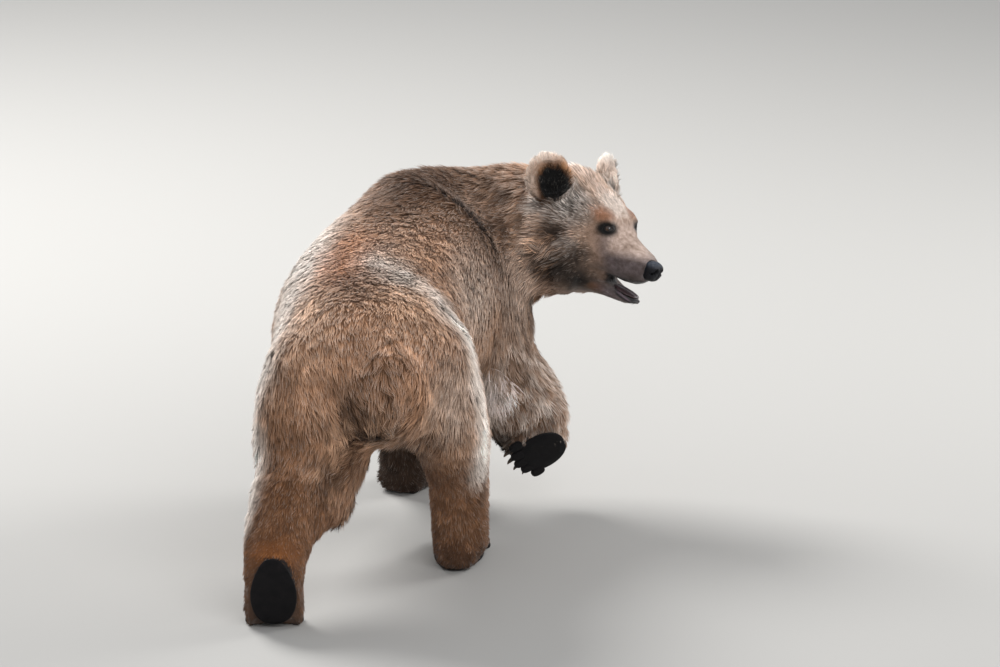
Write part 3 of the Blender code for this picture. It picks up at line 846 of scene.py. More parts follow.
# marks on the body: a tone, where it lies in the whole body's box, its reach in metres and how strong it is
bodyMarks = [
    ("hump", (0.47, 0.80, 0.95), (0.36, 0.34, 0.19), 1.0),
    ("hump", (0.36, 0.66, 0.90), (0.12, 0.18, 0.07), 0.7),
    ("neck", (0.66, 0.80, 0.78), (0.22, 0.26, 0.24), 0.9),
    ("shoulder", (0.63, 0.74, 0.74), (0.16, 0.22, 0.22), 0.85),
    ("flank", (0.54, 0.57, 0.70), (0.12, 0.24, 0.18), 0.85),
    ("tan", (0.38, 0.52, 0.87), (0.12, 0.20, 0.08), 0.4),
    ("rust", (0.23, 0.45, 0.84), (0.15, 0.28, 0.14), 0.95),
    ("tan", (0.40, 0.27, 0.80), (0.15, 0.20, 0.14), 0.9),
    ("tan", (0.16, 0.26, 0.72), (0.12, 0.22, 0.18), 0.8),
    ("whorl", (0.25, 0.31, 0.82), (0.075, 0.13, 0.10), 0.9),
    ("whorl", (0.33, 0.11, 0.66), (0.10, 0.12, 0.08), 0.75),
    ("buttock", (0.28, 0.07, 0.50), (0.14, 0.13, 0.17), 0.85),
    ("flank", (0.49, 0.19, 0.56), (0.10, 0.12, 0.16), 0.85),
    # painted shade on the inner sides of the hind legs, between them
    ("shade", (0.40, 0.22, 0.42), (0.07, 0.13, 0.13), 0.95),
    ("shade", (0.23, 0.12, 0.39), (0.09, 0.10, 0.09), 0.6),
    # painted shade under the belly, between the legs
    ("shade", (0.32, 0.52, 0.36), (0.26, 0.50, 0.12), 0.8),
    ("leg", (0.10, 0.10, 0.40), (0.12, 0.15, 0.24), 0.85),
    ("arm", (0.64, 0.74, 0.42), (0.22, 0.24, 0.24), 0.85),
    # painted shade under the raised right forearm and paw
    ("shade", (0.60, 0.72, 0.22), (0.12, 0.16, 0.07), 0.9),
    ("cream", (0.57, 0.69, 0.38), (0.05, 0.07, 0.06), 0.8),
]
# streaks: a tone, the places it runs through, how wide it reaches and how strong it is
bodyStreaks = [
    # painted shade in the crease in front of the right hip's ridge
    ("shade", ((0.42, 0.46, 0.86), (0.51, 0.40, 0.78), (0.57, 0.38, 0.66), (0.60, 0.38, 0.52)), 0.055, 0.7),
    # the coat's pale tips along the right hip's ridge, the left flank, the left hind leg's edge and the
    # right upper arm's front edge, laid strong as a painted rim highlight
    ("cream", ((0.31, 0.44, 0.85), (0.39, 0.34, 0.82), (0.47, 0.32, 0.76), (0.52, 0.29, 0.68),
               (0.535, 0.26, 0.59), (0.555, 0.28, 0.46), (0.575, 0.31, 0.32)), 0.082, 1.0),
    ("cream", ((0.16, 0.80, 0.86), (0.11, 0.44, 0.76), (0.06, 0.25, 0.64)), 0.150, 0.85),
    ("cream", ((0.04, 0.27, 0.64), (0.03, 0.21, 0.48), (0.01, 0.11, 0.28)), 0.080, 0.9),
    ("cream", ((0.71, 0.80, 0.62), (0.74, 0.78, 0.45), (0.79, 0.75, 0.33)), 0.055, 0.6),
]
# locks of two tones among each other: pale, dark, middle, reach, how large a lock is and how strong; the
# dark is painted shade in the gaps between locks
bodyLocks = [
    ("tan", "shade", (0.28, 0.09, 0.48), (0.18, 0.16, 0.24), 0.030, 0.95),
    ("tan", "shade", (0.42, 0.16, 0.46), (0.12, 0.16, 0.20), 0.026, 0.55),
    ("tan", "hump", (0.34, 0.50, 0.88), (0.22, 0.34, 0.12), 0.034, 0.40),
    ("cream", "shade", (0.66, 0.74, 0.36), (0.16, 0.20, 0.30), 0.022, 0.60),
    ("tan", "shade", (0.62, 0.76, 0.76), (0.20, 0.26, 0.24), 0.026, 0.55),
]
limbTones = {
    "thigh": ("coat", 0.3),
    "shank": ("leg", 0.8),
    "hind_foot": ("leg", 1.0),
    "forearm_right": ("arm", 0.6),
    # the left foreleg and the forepaws: partly their own dark fur, partly painted shade, the left foreleg
    # lying in shade under the body and the right forepaw under its raised forearm
    "forearm_left": ("shade", 0.95),
    "upper_arm_right": ("arm", 0.5),
    "upper_arm_left": ("leg", 0.7),
    "forepaw_left": ("shade", 0.95),
    "forepaw_right": ("shade", 0.6),
    "sole": ("black", 0.8),
}
# marks on the head, in its own centimetres, the same on both sides
headMarks = [
    ("temple", (0.5, 10.0, 7.5), (8.5, 7.0, 7.0), 0.95),
    ("cream", (9.0, 1.5, 9.0), (6.0, 4.5, 4.0), 0.6),
    ("brow", (8.0, 5.6, 6.2), (4.2, 3.6, 2.6), 0.9),
    ("dark", (-0.5, 12.4, 0.4), (4.6, 5.0, 3.0), 0.95),
    ("dark", (5.0, 10.0, -4.8), (4.6, 4.5, 4.0), 0.95),
    ("black", (5.6, 8.0, -11.6), (8.6, 7.6, 6.2), 1.0),
    ("black", (0.6, 11.8, -9.0), (6.0, 6.0, 5.0), 0.95),
    ("temple", (2.8, 11.2, -1.8), (2.6, 4.0, 2.0), 0.8),
    ("cream", (-8.4, 11.6, 6.0), (4.2, 5.0, 3.2), 0.8),
    ("dark", (-11.5, 11.0, -11.0), (6.0, 8.0, 5.0), 0.6),
    ("leg", (9.0, 5.6, -12.9), (3.0, 4.0, 1.8), 0.75),
]
# locks on the head's sides: pale among black, the black partly dark hair and partly painted shade between
# the locks
headLocks = [
    ("tan", "black", (-5.0, 12.0, -5.0), (7.0, 6.0, 9.0), 0.015, 0.85),
    ("temple", "black", (2.0, 10.5, -4.5), (6.0, 6.0, 5.0), 0.011, 0.60),
    ("cream", "black", (0.0, 10.0, 8.0), (9.0, 9.0, 7.0), 0.008, 0.70),
]


# each ear: how pale its top is, how brown its cup's edge is and how black its cup is; the far left ear is
# paler, with a lighter cup, as painted backlight, and the near right ear's black cup is partly its dark
# hair, partly painted shade in the hollow
earLooks = {"ear_right": (-1, 0.65, 0.8, 1.0), "ear_left": (1, 0.75, 0.3, 0.3)}


def toneAt(points, owner, edges):
    colour = np.tile(tone("coat"), (len(points), 1))

    def add(name, share):
        nonlocal colour
        share = np.clip(share, 0, 1)[:, None]
        colour = colour * (1 - share) + tone(name) * share

    for start, (name, strength) in limbTones.items():
        add(name, np.char.startswith(owner, start) * strength)
    for name, centre, reach, strength in bodyMarks:
        add(name, blob(points, inBody(*centre), reach) ** 0.45 * strength)
    for name, path, radius, strength in bodyStreaks:
        add(name, nearPath(points, pathOf(path), radius) * strength)

    # the pale tone on the locks, the darker one between them, partly dark hair and partly painted shade in
    # the gaps
    def addLocks(where, pale, darker, centre, reach, size, strength):
        share = blob(where, centre, reach) ** 0.6 * strength
        lock = noiseAt(points * (1, 1, 0.5), size, 33.0, 2)
        add(darker, share * smooth(lock, 0.02, -0.40))
        add(pale, share * smooth(lock, 0.05, 0.45))

    # painted shade low down near the floor, on all but the raised right foreleg
    onGround = ~np.char.endswith(owner, "_right") | ~np.char.startswith(owner, "fore")
    add("shade", smooth(points[:, 2], 0.18, 0.02) * onGround * 0.5)
    heel = inBox(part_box("sole_hind_left"), 0.5, 0.4, 1.0)
    add("heel", blob(points, heel, (0.10, 0.07, 0.05)) ** 0.6 * 0.7)
    colour = even(colour, edges, 20)
    for pale, darker, centre, *how in bodyLocks:
        addLocks(points, pale, darker, inBody(*centre), *how)
    colour = even(colour, edges, 1)
    onHead = np.isin(owner, ("head", "jaw")) | np.char.startswith(owner, "ear")
    headShare = even(onHead.astype(float)[:, None], edges, 16)[:, 0]
    local = toHead(points)
    x, _, z = local.T
    mirrored = mirror(local)
    nearHead = np.maximum(headShare, smooth(sizeOf(local - (0, 0, -4)), 21, 15))
    add("head", headShare * 0.9)
    # a pale line along the top of the head: the pale hair there, laid strong as a painted rim highlight
    # along the head's top line
    add("muzzleTop", headShare * smooth(mirrored[:, 1], 4.5, 1.0) * smooth(z, 2, 6) * 0.55)
    for name, centre, reach, strength in headMarks:
        add(name, nearHead * blob(mirrored, centre, reach) ** 0.38 * strength)
    for row in headLocks:
        addLocks(mirrored, *row)
    add("muzzle", headShare * smooth(x, 6.5, 12.5) * smooth(z, 5.5, 1.0) * 0.85)
    add("muzzleTop", headShare * smooth(x, 9.5, 13) * smooth(z, -4.6, -1.0) * 0.9)
    add("shade", headShare * blob(mirrored, (18.5, 4, -9.6), (7, 5, 3.4)) * 0.85)
    for ear, (side, pale, brown, black) in earLooks.items():
        eye = eyeAt(side)
        out = eyeAxes(side)[0]
        # dark round each eye: partly the dark fur of the lids, partly painted shade under the brow
        around = sizeOf((local - eye - out * 0.8 + (0.5, 0, 0.1)) / (3.0, 3.2, 2.1))
        add("dark", headShare * smooth(around, 1.30, 0.60) * 0.95)
        add("black", headShare * smooth(around, 0.95, 0.50) * 0.95)
        isEar = owner == ear
        out, wide, high = earPlace(local, side)
        add("earRim", isEar * 0.95)
        add("cream", isEar * smooth(high, 2.0, 6.0) * pale)
        cup = np.hypot((wide + 0.9) / 4.5, (high + 2.0) / 5.2)
        front = smooth(out, -2.3, -1.3)
        # pale ear rims: the rim hair's own tan-cream, laid stronger as a painted rim highlight on the near
        # ear's rim and as painted backlight over the whole far ear
        add("cream", isEar * (0.6 if side > 0 else 0.55 * smooth(wide, 1.5, 5.0)))
        add("leg", isEar * front * smooth(cup, 1.18, 0.9) * brown)
        inCup = front * smooth(cup, 1.02, 0.74) * smooth(high, 4.8, 3.2)
        add("black", isEar * inCup * black)
        add("dark", nearHead * blob(local, earAxes(side)[0] - (1.0, 0, 6.8), (5.0, 5.0, 3.4)) ** 0.5 * 0.9)
    return colour


def mottled(colour, mottle, points):  # patches and locks a little lighter or darker, finer on the face
    onFace = smooth(sizeOf(toHead(points) - (8, 0, 0)), 24, 18)
    fine = noiseAt(points, 0.009, 15.2, 1) * onFace * 0.8
    shade = 0.46 * mottle + 0.50 * fine
    return np.clip(colour * (1 + shade[:, None] * np.array([0.9, 1.0, 1.1])), 0.003, 1)


def toneShades(points):  # mottling in patches and in locks
    return noiseAt(points, 0.10, 3.1) * 0.6 + noiseAt(points, 0.030, 9.7) * 0.6


def spanOf(points, axis):
    reach = points @ axis
    return reach.min(), reach.max()


def footAxes(place):  # a sole's middle on its own plane, and the ways forward, across and up into the foot
    foot = ("hind_foot_" if place.startswith("hind") else "forepaw_") + place.split("_")[1]
    points = readPoints(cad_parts[f"sole_{place}"].data)
    middle = points.mean(0)
    up = np.linalg.svd(points - middle, full_matrices=False)[2][2]
    up = up * np.sign(up @ (middleOf(foot) - middle))
    claws = meanOf(clawsOf(place))
    forward = squareTo(up, claws - middle)
    across = np.cross(up, forward)
    low, high = spanOf(points, forward)
    left, right = spanOf(points, across)
    centre = forward * (low + high) / 2 + across * (left + right) / 2 + up * spanOf(points, up)[0]
    return centre, forward, across, up, (high - low) / 2, (right - left) / 2


def clawEnds(name):  # a claw's root and its point
    points = readPoints(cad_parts[name].data)
    far = points - points.mean(0)
    along = np.linalg.svd(far, full_matrices=False)[2][0]
    reach = far @ along
    span = sizeOf(far - reach[:, None] * along)
    if span[reach > np.median(reach)].mean() > span[reach < np.median(reach)].mean():
        along, reach = -along, -reach
    root = points[reach < reach.min() + 0.2 * np.ptp(reach)].mean(0)
    return root, points[reach.argmax()]


print("making the pads")
padPlan = {
    "thickness": 0.0085,
    "rise": 0.0070,
    "toe": (0.020, 0.0150),
    "toeBack": 0.012,
    "sides": 40,
    "rings": 22,
    "power": 2.5,
}
# each pad: forward and across, its half length and width, all as shares of half the sole, and how much
# narrower its heel is
solePads = {
    "hind_left": [(-0.04, 0.0, 0.90, 0.86, 0.30)],
    "hind_right": [(-0.04, 0.0, 0.90, 0.86, 0.30)],
    "fore_left": [(0.30, 0.0, 0.46, 0.84, 0.10), (-0.62, -0.30, 0.22, 0.28, 0.0)],
    "fore_right": [(-0.02, 0.0, 0.86, 0.86, 0.12)],
}
footPlaces = ("hind_left", "hind_right", "fore_left", "fore_right")


def padForm(half, narrow):
    points = []
    rings, sides, power = padPlan["rings"], padPlan["sides"], padPlan["power"]

    def bend(value):
        return np.sign(value) * np.abs(value) ** (2 / power)

    for ring in range(1, rings):
        polar = math.pi * ring / rings
        turn = np.linspace(0, 2 * math.pi, sides, endpoint=False)
        u = half[0] * bend(np.sin(polar)) * bend(np.cos(turn))
        v = half[1] * bend(np.sin(polar)) * bend(np.sin(turn))
        v = v * (1 - narrow * smooth(u / half[0], 0.2, -1.0))
        w = padPlan["rise"] - padPlan["thickness"] * bend(np.cos(polar))
        points += list(np.stack([u, v, np.full(sides, w)], 1))
    faces = tubeFaces(rings - 1, sides)
    last = (rings - 2) * sides
    points += [(0, 0, padPlan["rise"] + way * padPlan["thickness"]) for way in (-1, 1)]
    under, over = len(points) - 2, len(points) - 1
    for side in range(sides):
        faces.append((side + 1 if side + 1 < sides else 0, side, under))
        faces.append((last + side, last + (side + 1) % sides, over))
    return np.array(points), faces


def creased(points, size):  # fine folds across a pad
    folds = noiseAt(points * np.array([1, 0.45, 1]), 0.012, 5.0) * 0.0007
    folds += noiseAt(points, 0.035, 2.0) * 0.0012 * min(1, size / 0.05)
    return folds


def makePads(place):
    centre, forward, across, up, halfLong, halfWide = footAxes(place)
    axes = np.array([forward, across, up])
    allPoints, allFaces = [], []

    def addPad(middle, half, narrow, axes):
        points, faces = padForm(half, narrow)
        points[:, 2] -= creased(points, half[0]) * smooth(points[:, 2], 0.004, 0.0)
        points[:, 2] = np.maximum(points[:, 2], 0)
        start = sum(len(p) for p in allPoints)
        allPoints.append(middle + points @ axes)
        allFaces.extend([tuple(start + i for i in face) for face in faces])

    for ahead, aside, long, wide, narrow in solePads[place]:
        middle = centre + forward * ahead * halfLong + across * aside * halfWide
        addPad(middle, (long * halfLong, wide * halfWide), narrow, axes)
    for claw in clawsOf(place):
        root, point = clawEnds(claw)
        lift = upwards if place == "hind_left" else up
        way = squareTo(lift, point - root)
        middle = root - way * padPlan["toeBack"]
        floorAt = 0.0 if place == "hind_left" else centre @ up
        middle = middle - lift * (middle @ lift - floorAt)
        addPad(middle, padPlan["toe"], 0.0, np.array([way, np.cross(lift, way), lift]))
    pads = addObject(f"pads_{place}", np.vstack(allPoints), allFaces)
    faceOutwards(pads)
    return pads


def padFinish():
    hide = Finish("pad_hide", roughness=0.6, specular=0.12, Coat_Roughness=0.4)
    crack = hide.cells(420, "DISTANCE_TO_EDGE").span(0.0, 0.12)
    patches = hide.noise(45, 4.0, 0.6)
    tint = hide.blend(patches, (0.004, 0.004, 0.005), (0.015, 0.013, 0.014))
    hide.set("Base Color", hide.mix(crack, (0.002, 0.002, 0.002), tint))
    hide.roughen(patches, 0.5, 0.8)
    hide.bump(crack * 0.6 + hide.noise(700, 3.0) * 0.4, 0.0010, 0.8)
    return hide.material


padHide = padFinish()
for footPlace in footPlaces:
    fit(makePads(footPlace), padHide, "sole_skin", f"sole_{footPlace}")


print("making the claws")
clawPlan = {"rings": 22, "sides": 16, "root": 0.0074, "buried": 0.016, "width": 0.86, "height": 1.22}


def makeClaws(place):
    up = footAxes(place)[3] if place != "hind_left" else upwards
    points, faces, along = [], [], []
    rings, sides = clawPlan["rings"], clawPlan["sides"]
    for claw in clawsOf(place):
        root, tip = clawEnds(claw)
        way = tip - root
        level = squareTo(up, way)
        across = np.cross(up, level)
        start = root - level * clawPlan["buried"]
        bend = root + level * (way @ level) * 0.62 + up * 0.001
        base = len(points)
        for ring in range(rings):
            t = ring / (rings - 1)
            centre = (1 - t) ** 2 * start + 2 * t * (1 - t) * bend + t * t * tip
            tangent = unit(2 * (1 - t) * (bend - start) + 2 * t * (tip - bend))
            over = np.cross(tangent, across)
            over = over * np.sign(over @ up + 1e-9)
            thick = clawPlan["root"] * (1 - t ** 1.5) ** 0.75 + 0.0004
            for side in range(sides):
                turn = 2 * math.pi * side / sides
                wide, high = math.cos(turn), math.sin(turn)
                groove = 0.22 * smooth(-high, 0.6, 1.0) * (1 - t)
                reach = thick * (1 - groove)
                aside = across * wide * reach * clawPlan["width"]
                points.append(centre + aside + over * high * reach * clawPlan["height"])
                along.append(t)
        faces += tubeFaces(rings, sides, base)
        faces.append(tuple(base + side for side in range(sides))[::-1])
        faces.append(tuple(base + (rings - 1) * sides + side for side in range(sides)))
    claws = addObject(f"claws_{place}", points, faces)
    faceOutwards(claws)
    paint(claws.data, "alongClaw", np.array(along))
    return claws


def clawFinish():
    horn = Finish("claw_horn", roughness=0.35, specular=0.5, Coat_Roughness=0.25)
    along = horn.attribute("alongClaw")
    layers = horn.noise(260, 4.0, 0.6, stretch=(1, 1, 0.35))
    dark = horn.mix(layers.span(0.35, 0.65), (0.018, 0.013, 0.010), (0.060, 0.042, 0.030))
    horn.set("Base Color", horn.mix(along.span(0.55, 1.0, 0.0, 0.6), dark, (0.16, 0.12, 0.085)))
    horn.roughen(layers, 0.28, 0.5)
    horn.bump(layers, 0.0006, 0.5)
    return horn.material


clawHorn = clawFinish()
for footPlace in footPlaces:
    fit(makeClaws(footPlace), clawHorn, "claw_horn", *clawsOf(footPlace))


print("making the eyes, nose and tongue")
eyePlan = {"sides": 48, "rings": 36, "gaze": (0.86, 0.50, 0.02), "pupil": 0.36, "iris": 0.62}


def roundForm(rings, sides):  # a unit ball with its pole along x
    points, faces = [(1.0, 0, 0)], []
    for ring in range(1, rings):
        polar = math.pi * ring / rings
        for side in range(sides):
            turn = 2 * math.pi * side / sides
            wide = math.sin(polar)
            points.append((math.cos(polar), wide * math.cos(turn), wide * math.sin(turn)))
    points.append((-1.0, 0, 0))
    last = len(points) - 1
    for side in range(sides):
        after = (side + 1) % sides
        faces.append((0, 1 + side, 1 + after))
        for ring in range(rings - 2):
            base = 1 + ring * sides
            faces.append((base + side, base + sides + side, base + sides + after, base + after))
        base = 1 + (rings - 2) * sides
        faces.append((base + side, last, base + after))
    return np.array(points), faces


def makeEye(name, side):
    points, faces = roundForm(eyePlan["rings"], eyePlan["sides"])
    angle = np.arccos(np.clip(points[:, 0], -1, 1))
    points = points * (1 + 0.05 * smooth(angle, 0.75, 0.25))[:, None]  # the clear front stands out
    gaze = unit(np.array(eyePlan["gaze"]) * (1, side, 1))
    across = unit(np.cross(upwards, gaze))
    axes = np.array([gaze, across, np.cross(gaze, across)])
    centre = toHead(middleOf(name))
    eye = addObject(f"ball_{name}", fromHead(centre + points @ axes * face["ballRadius"]), faces)
    paint(eye.data, "fromPupil", angle)
    eye.data.shade_smooth()
    return eye


def eyeFinish():
    eye = Finish("eye_glaze", roughness=0.06, specular=0.6, Coat_Weight=0.6, Coat_Roughness=0.03)
    angle = eye.attribute("fromPupil")
    fibres = eye.noise(900, 3.0, 0.6)
    iris = eye.mix(fibres, (0.012, 0.006, 0.003), (0.034, 0.016, 0.008))
    shown = eye.mix(angle.span(eyePlan["pupil"], eyePlan["pupil"] + 0.05), (0.002, 0.002, 0.002), iris)
    white = eye.mix(eye.noise(300, 2.0), (0.030, 0.018, 0.012), (0.075, 0.050, 0.038))
    eye.set("Base Color", eye.mix(angle.span(eyePlan["iris"], eyePlan["iris"] + 0.10), shown, white))
    eye.set("Roughness", fibres.span(0.2, 0.8, 0.05, 0.09))
    return eye.material


eyeGlaze = eyeFinish()
for eyeName, eyeSide in (("eye_right", -1), ("eye_left", 1)):
    fit(makeEye(eyeName, eyeSide), eyeGlaze, "eye", eyeName)


nosePlan = {
    "rings": 84,
    "sides": 110,
    "size": (2.3, 2.7, 2.6),
    "power": 3.0,
    "nostrils": (((2.35, 1.15, 0.30), 0.85), ((2.1, 1.75, -0.10), 0.72), ((1.6, 2.35, -0.45), 0.62)),
    "nostril": 0.9,
    "groove": 0.30,
}


def makeNose():
    ball, faces = roundForm(nosePlan["rings"], nosePlan["sides"])
    size, power = np.array(nosePlan["size"]), nosePlan["power"]
    reach = ((np.abs(ball) / size) ** power).sum(1) ** (-1 / power)
    points = ball * reach[:, None]
    x, y, z = points.T
    side = np.abs(y)
    points[:, 1] *= 1 - 0.22 * smooth(z, 0.2, -2.6) - 0.10 * smooth(z, 0.8, 2.6)  # narrower below and above
    points[:, 0] -= 0.55 * smooth(z, 0.4, -2.6) * smooth(x, 0, 2)  # the front slopes back to the lip
    points[:, 2] -= 0.30 * smooth(x, 0.2, 2.4) * smooth(z, 0.8, 2.4)
    flat = points * (1, 0, 1) + (0, 1, 0) * side[:, None]
    hole = np.zeros(len(points))
    for centre, radius in nosePlan["nostrils"]:
        hole = np.maximum(hole, blob(flat, centre, radius) ** 0.8)
    inward = -unit(ball * (1, 0.75, 0.5))
    points = points + inward * (nosePlan["nostril"] * hole)[:, None]
    rim = blob(flat, (2.5, 0.95, 0.9), (1.1, 1.3, 0.8)) * (1 - hole)
    points = points + ball * 0.16 * rim[:, None]
    groove = smooth(side, 0.34, 0.0) * smooth(z, 0.4, -0.6) * smooth(x, 0.3, 1.4)
    points[:, 0] -= nosePlan["groove"] * groove
    nose = addObject("nose_leather", fromHead(points + toHead(middleOf("nose_pad"))), faces)
    paint(nose.data, "insideNostril", hole)
    # the top of the nose, for a painted reflection of the sky there
    paint(nose.data, "paintedNoseReflection", smooth(points[:, 2], 0.9, 2.2))
    nose.data.shade_smooth()
    return nose


def noseFinish():
    hide = Finish("nose_leather", roughness=0.4, specular=0.22, Coat_Weight=0.0, Coat_Roughness=0.3)
    cells = hide.cells(520, "DISTANCE_TO_EDGE").span(0.0, 0.16)
    patches = hide.noise(60, 3.0)
    tint = hide.blend(patches, (0.005, 0.005, 0.007), (0.014, 0.015, 0.020))
    # a painted reflection of the bright sky on the top of the nose
    tint = hide.mix(hide.attribute("paintedNoseReflection"), tint, (0.040, 0.050, 0.072))
    grained = hide.mix(cells.span(0, 1, 0.4, 1), (0.004, 0.004, 0.005), tint)
    inside = hide.attribute("insideNostril").span(0.2, 0.8)
    hide.set("Base Color", hide.mix(inside, grained, (0.002, 0.002, 0.002)))
    hide.roughen(patches, 0.32, 0.5)
    hide.bump(cells, 0.0007, 0.7)
    return hide.material


fit(makeNose(), noseFinish(), "nose_skin", "nose_pad")


def makeTongue():
    tongue = fuse("tongue_soft", ["tongue"], 0.0020, 0.0004)
    points, edges = readPoints(tongue.data), readEdges(tongue.data)
    points = relax(points, edges, 4)
    local = toHead(points)
    top = readNormals(tongue.data) @ headAxes[2]
    local[:, 2] -= 0.22 * smooth(np.abs(local[:, 1]), 0.8, 0.0) * smooth(top, 0.2, 0.8)
    writePoints(tongue.data, fromHead(local))
    tongue.data.shade_smooth()
    return tongue


def tongueFinish():
    soft = Finish("tongue_soft", roughness=0.4, specular=0.5, Coat_Weight=0.3, Coat_Roughness=0.2)
    patches = soft.noise(120, 4.0)
    soft.set("Base Color", soft.blend(patches, (0.020, 0.012, 0.014), (0.060, 0.032, 0.036)))
    soft.roughen(patches, 0.3, 0.5)
    soft.bump(soft.cells(900), 0.0006, 0.6)
    return soft.material


fit(makeTongue(), tongueFinish(), "tongue", "tongue")


tuftPlan = {
    "rings": 2,
    "sink": 0.005,
    "patch": 0.003,  # a tuft's patch on the map
    "most": 190000,  # triangles in one piece
    "orderCell": 0.02,
    "clumpSpacing": 0.026,
    "yaw": (0.08, 0.32),
    "lengths": (0.72, 1.18),
    "curl": 0.35,
    "lean": (0.15, 0.65, 0.85),
    "profile": (0.95, 0.9, 0.0),  # its width from root to tip
    "ridge": 0.42,
    "floor": 0.0012,
    "lowest": 0.0002,
}


def mortonOrder(points):  # an order in which near points follow each other
    steps = ((points - points.min(0)) / tuftPlan["orderCell"]).astype(np.int64)
    code = np.zeros(len(points), np.int64)
    for bit in range(8):
        for axis in range(3):
            code |= ((steps[:, axis] >> bit) & 1) << (3 * bit + axis)
    return np.argsort(code, kind="stable")


def scatterRoots(skin, settings):
    points, normals = readPoints(skin.data), readNormals(skin.data)
    corners, loops = readTriangles(skin.data)
    uv = fetch(skin.data.uv_layers["OFBake"].data, "uv", 2)
    order = mortonOrder(points[corners].mean(1))
    corners, loops = corners[order], loops[order]
    area = areasOf(points[corners]) * 10000  # in square centimetres
    weight = area * settings["density"][corners].mean(1) * (1 - settings["bare"][corners].max(1))
    ends = np.cumsum(weight)
    count = int(ends[-1])
    pick = np.searchsorted(ends, (np.arange(count) + rng.random(count)) * ends[-1] / count)
    pick = np.minimum(pick, len(corners) - 1)
    share = spotsIn(count)

    def spread(values, index=corners):
        values = values[index[pick]]
        return (values * (share if values.ndim == 2 else share[:, :, None])).sum(1)

    roots = {word: spread(settings[word]) for word in ("length", "width", "lift", "wild", "tone")}
    roots["point"] = spread(points)
    roots["normal"] = unit(spread(normals))
    roots["way"] = alongSurface(spread(settings["way"]), roots["normal"])
    roots["uv"] = spread(uv, loops)
    roots["owner"] = settings["owner"][corners[pick][:, 0]]
    return roots


def growSpines(roots, rings):
    count = len(roots["point"])
    normal, way, wild = roots["normal"], roots["way"], roots["wild"][:, None]
    least, added = tuftPlan["yaw"]
    yaw = rng.normal(0, 1, (count, 1)) * (least + added * wild)
    side = np.cross(normal, way)
    way = way * np.cos(yaw) + side * np.sin(yaw)
    side = np.cross(normal, way)
    lift = np.radians(roots["lift"])[:, None] * (1 + 0.35 * wild * rng.normal(0, 1, (count, 1)))
    length = roots["length"][:, None] * rng.uniform(*tuftPlan["lengths"], (count, 1))
    curl = rng.normal(0, tuftPlan["curl"], (count, 1)) * (0.4 + wild)
    spine = [roots["point"] - normal * tuftPlan["sink"]]
    for ring in range(rings):
        share = (ring + 0.5) / rings
        angle = lift * (1.5 - share)
        turn = curl * share
        step = np.cos(angle) * (way * np.cos(turn) + side * np.sin(turn)) + np.sin(angle) * normal
        spine.append(spine[-1] + step * length / rings)
    return np.stack(spine, 1), side


def gatherClumps(roots, spine):  # tips lean together in locks
    point = roots["point"]
    step = tuftPlan["clumpSpacing"]
    cells = np.floor(point / step).astype(int)
    _, guides = np.unique(cells, axis=0, return_index=True)
    mine = guides[nearestIn(point[guides], point)]
    same = (roots["normal"] * roots["normal"][mine]).sum(1) > 0.6
    least, added, most = tuftPlan["lean"]
    pull = same * np.clip(least + added * roots["wild"], 0, most)
    for ring in range(1, spine.shape[1]):
        share = (pull * (ring / (spine.shape[1] - 1)) ** 1.3)[:, None]
        spine[:, ring] += (spine[mine, ring] - spine[:, ring]) * share
    spine[:, 1:, 2] = np.maximum(spine[:, 1:, 2], tuftPlan["floor"])
    return mine


def tuftFaces(rings):  # one tuft's faces: their sizes, their corners and the corners' places in its patch
    faces = [[(0, 0.0, 0.0), (2, 0.33, 0.0), (1, 0.66, 0.0)]]
    for ring in range(rings):
        low, high = ring / rings, (ring + 1) / rings
        after = 3 * ring + 3
        for first, second, left, right in ((0, 2, 0.0, 0.33), (2, 1, 0.33, 0.66), (1, 0, 0.66, 1.0)):
            face = [(3 * ring + first, left, low), (3 * ring + second, right, low)]
            if ring < rings - 1:
                face += [(after + second, right, high), (after + first, left, high)]
            else:
                face.append((after, (left + right) / 2, high))
            faces.append(face)
    corners = np.array([corner for face in faces for corner in face[::-1]])  # they wind outward
    return np.array([len(face) for face in faces]), corners[:, 0].astype(int), corners[:, 1:]


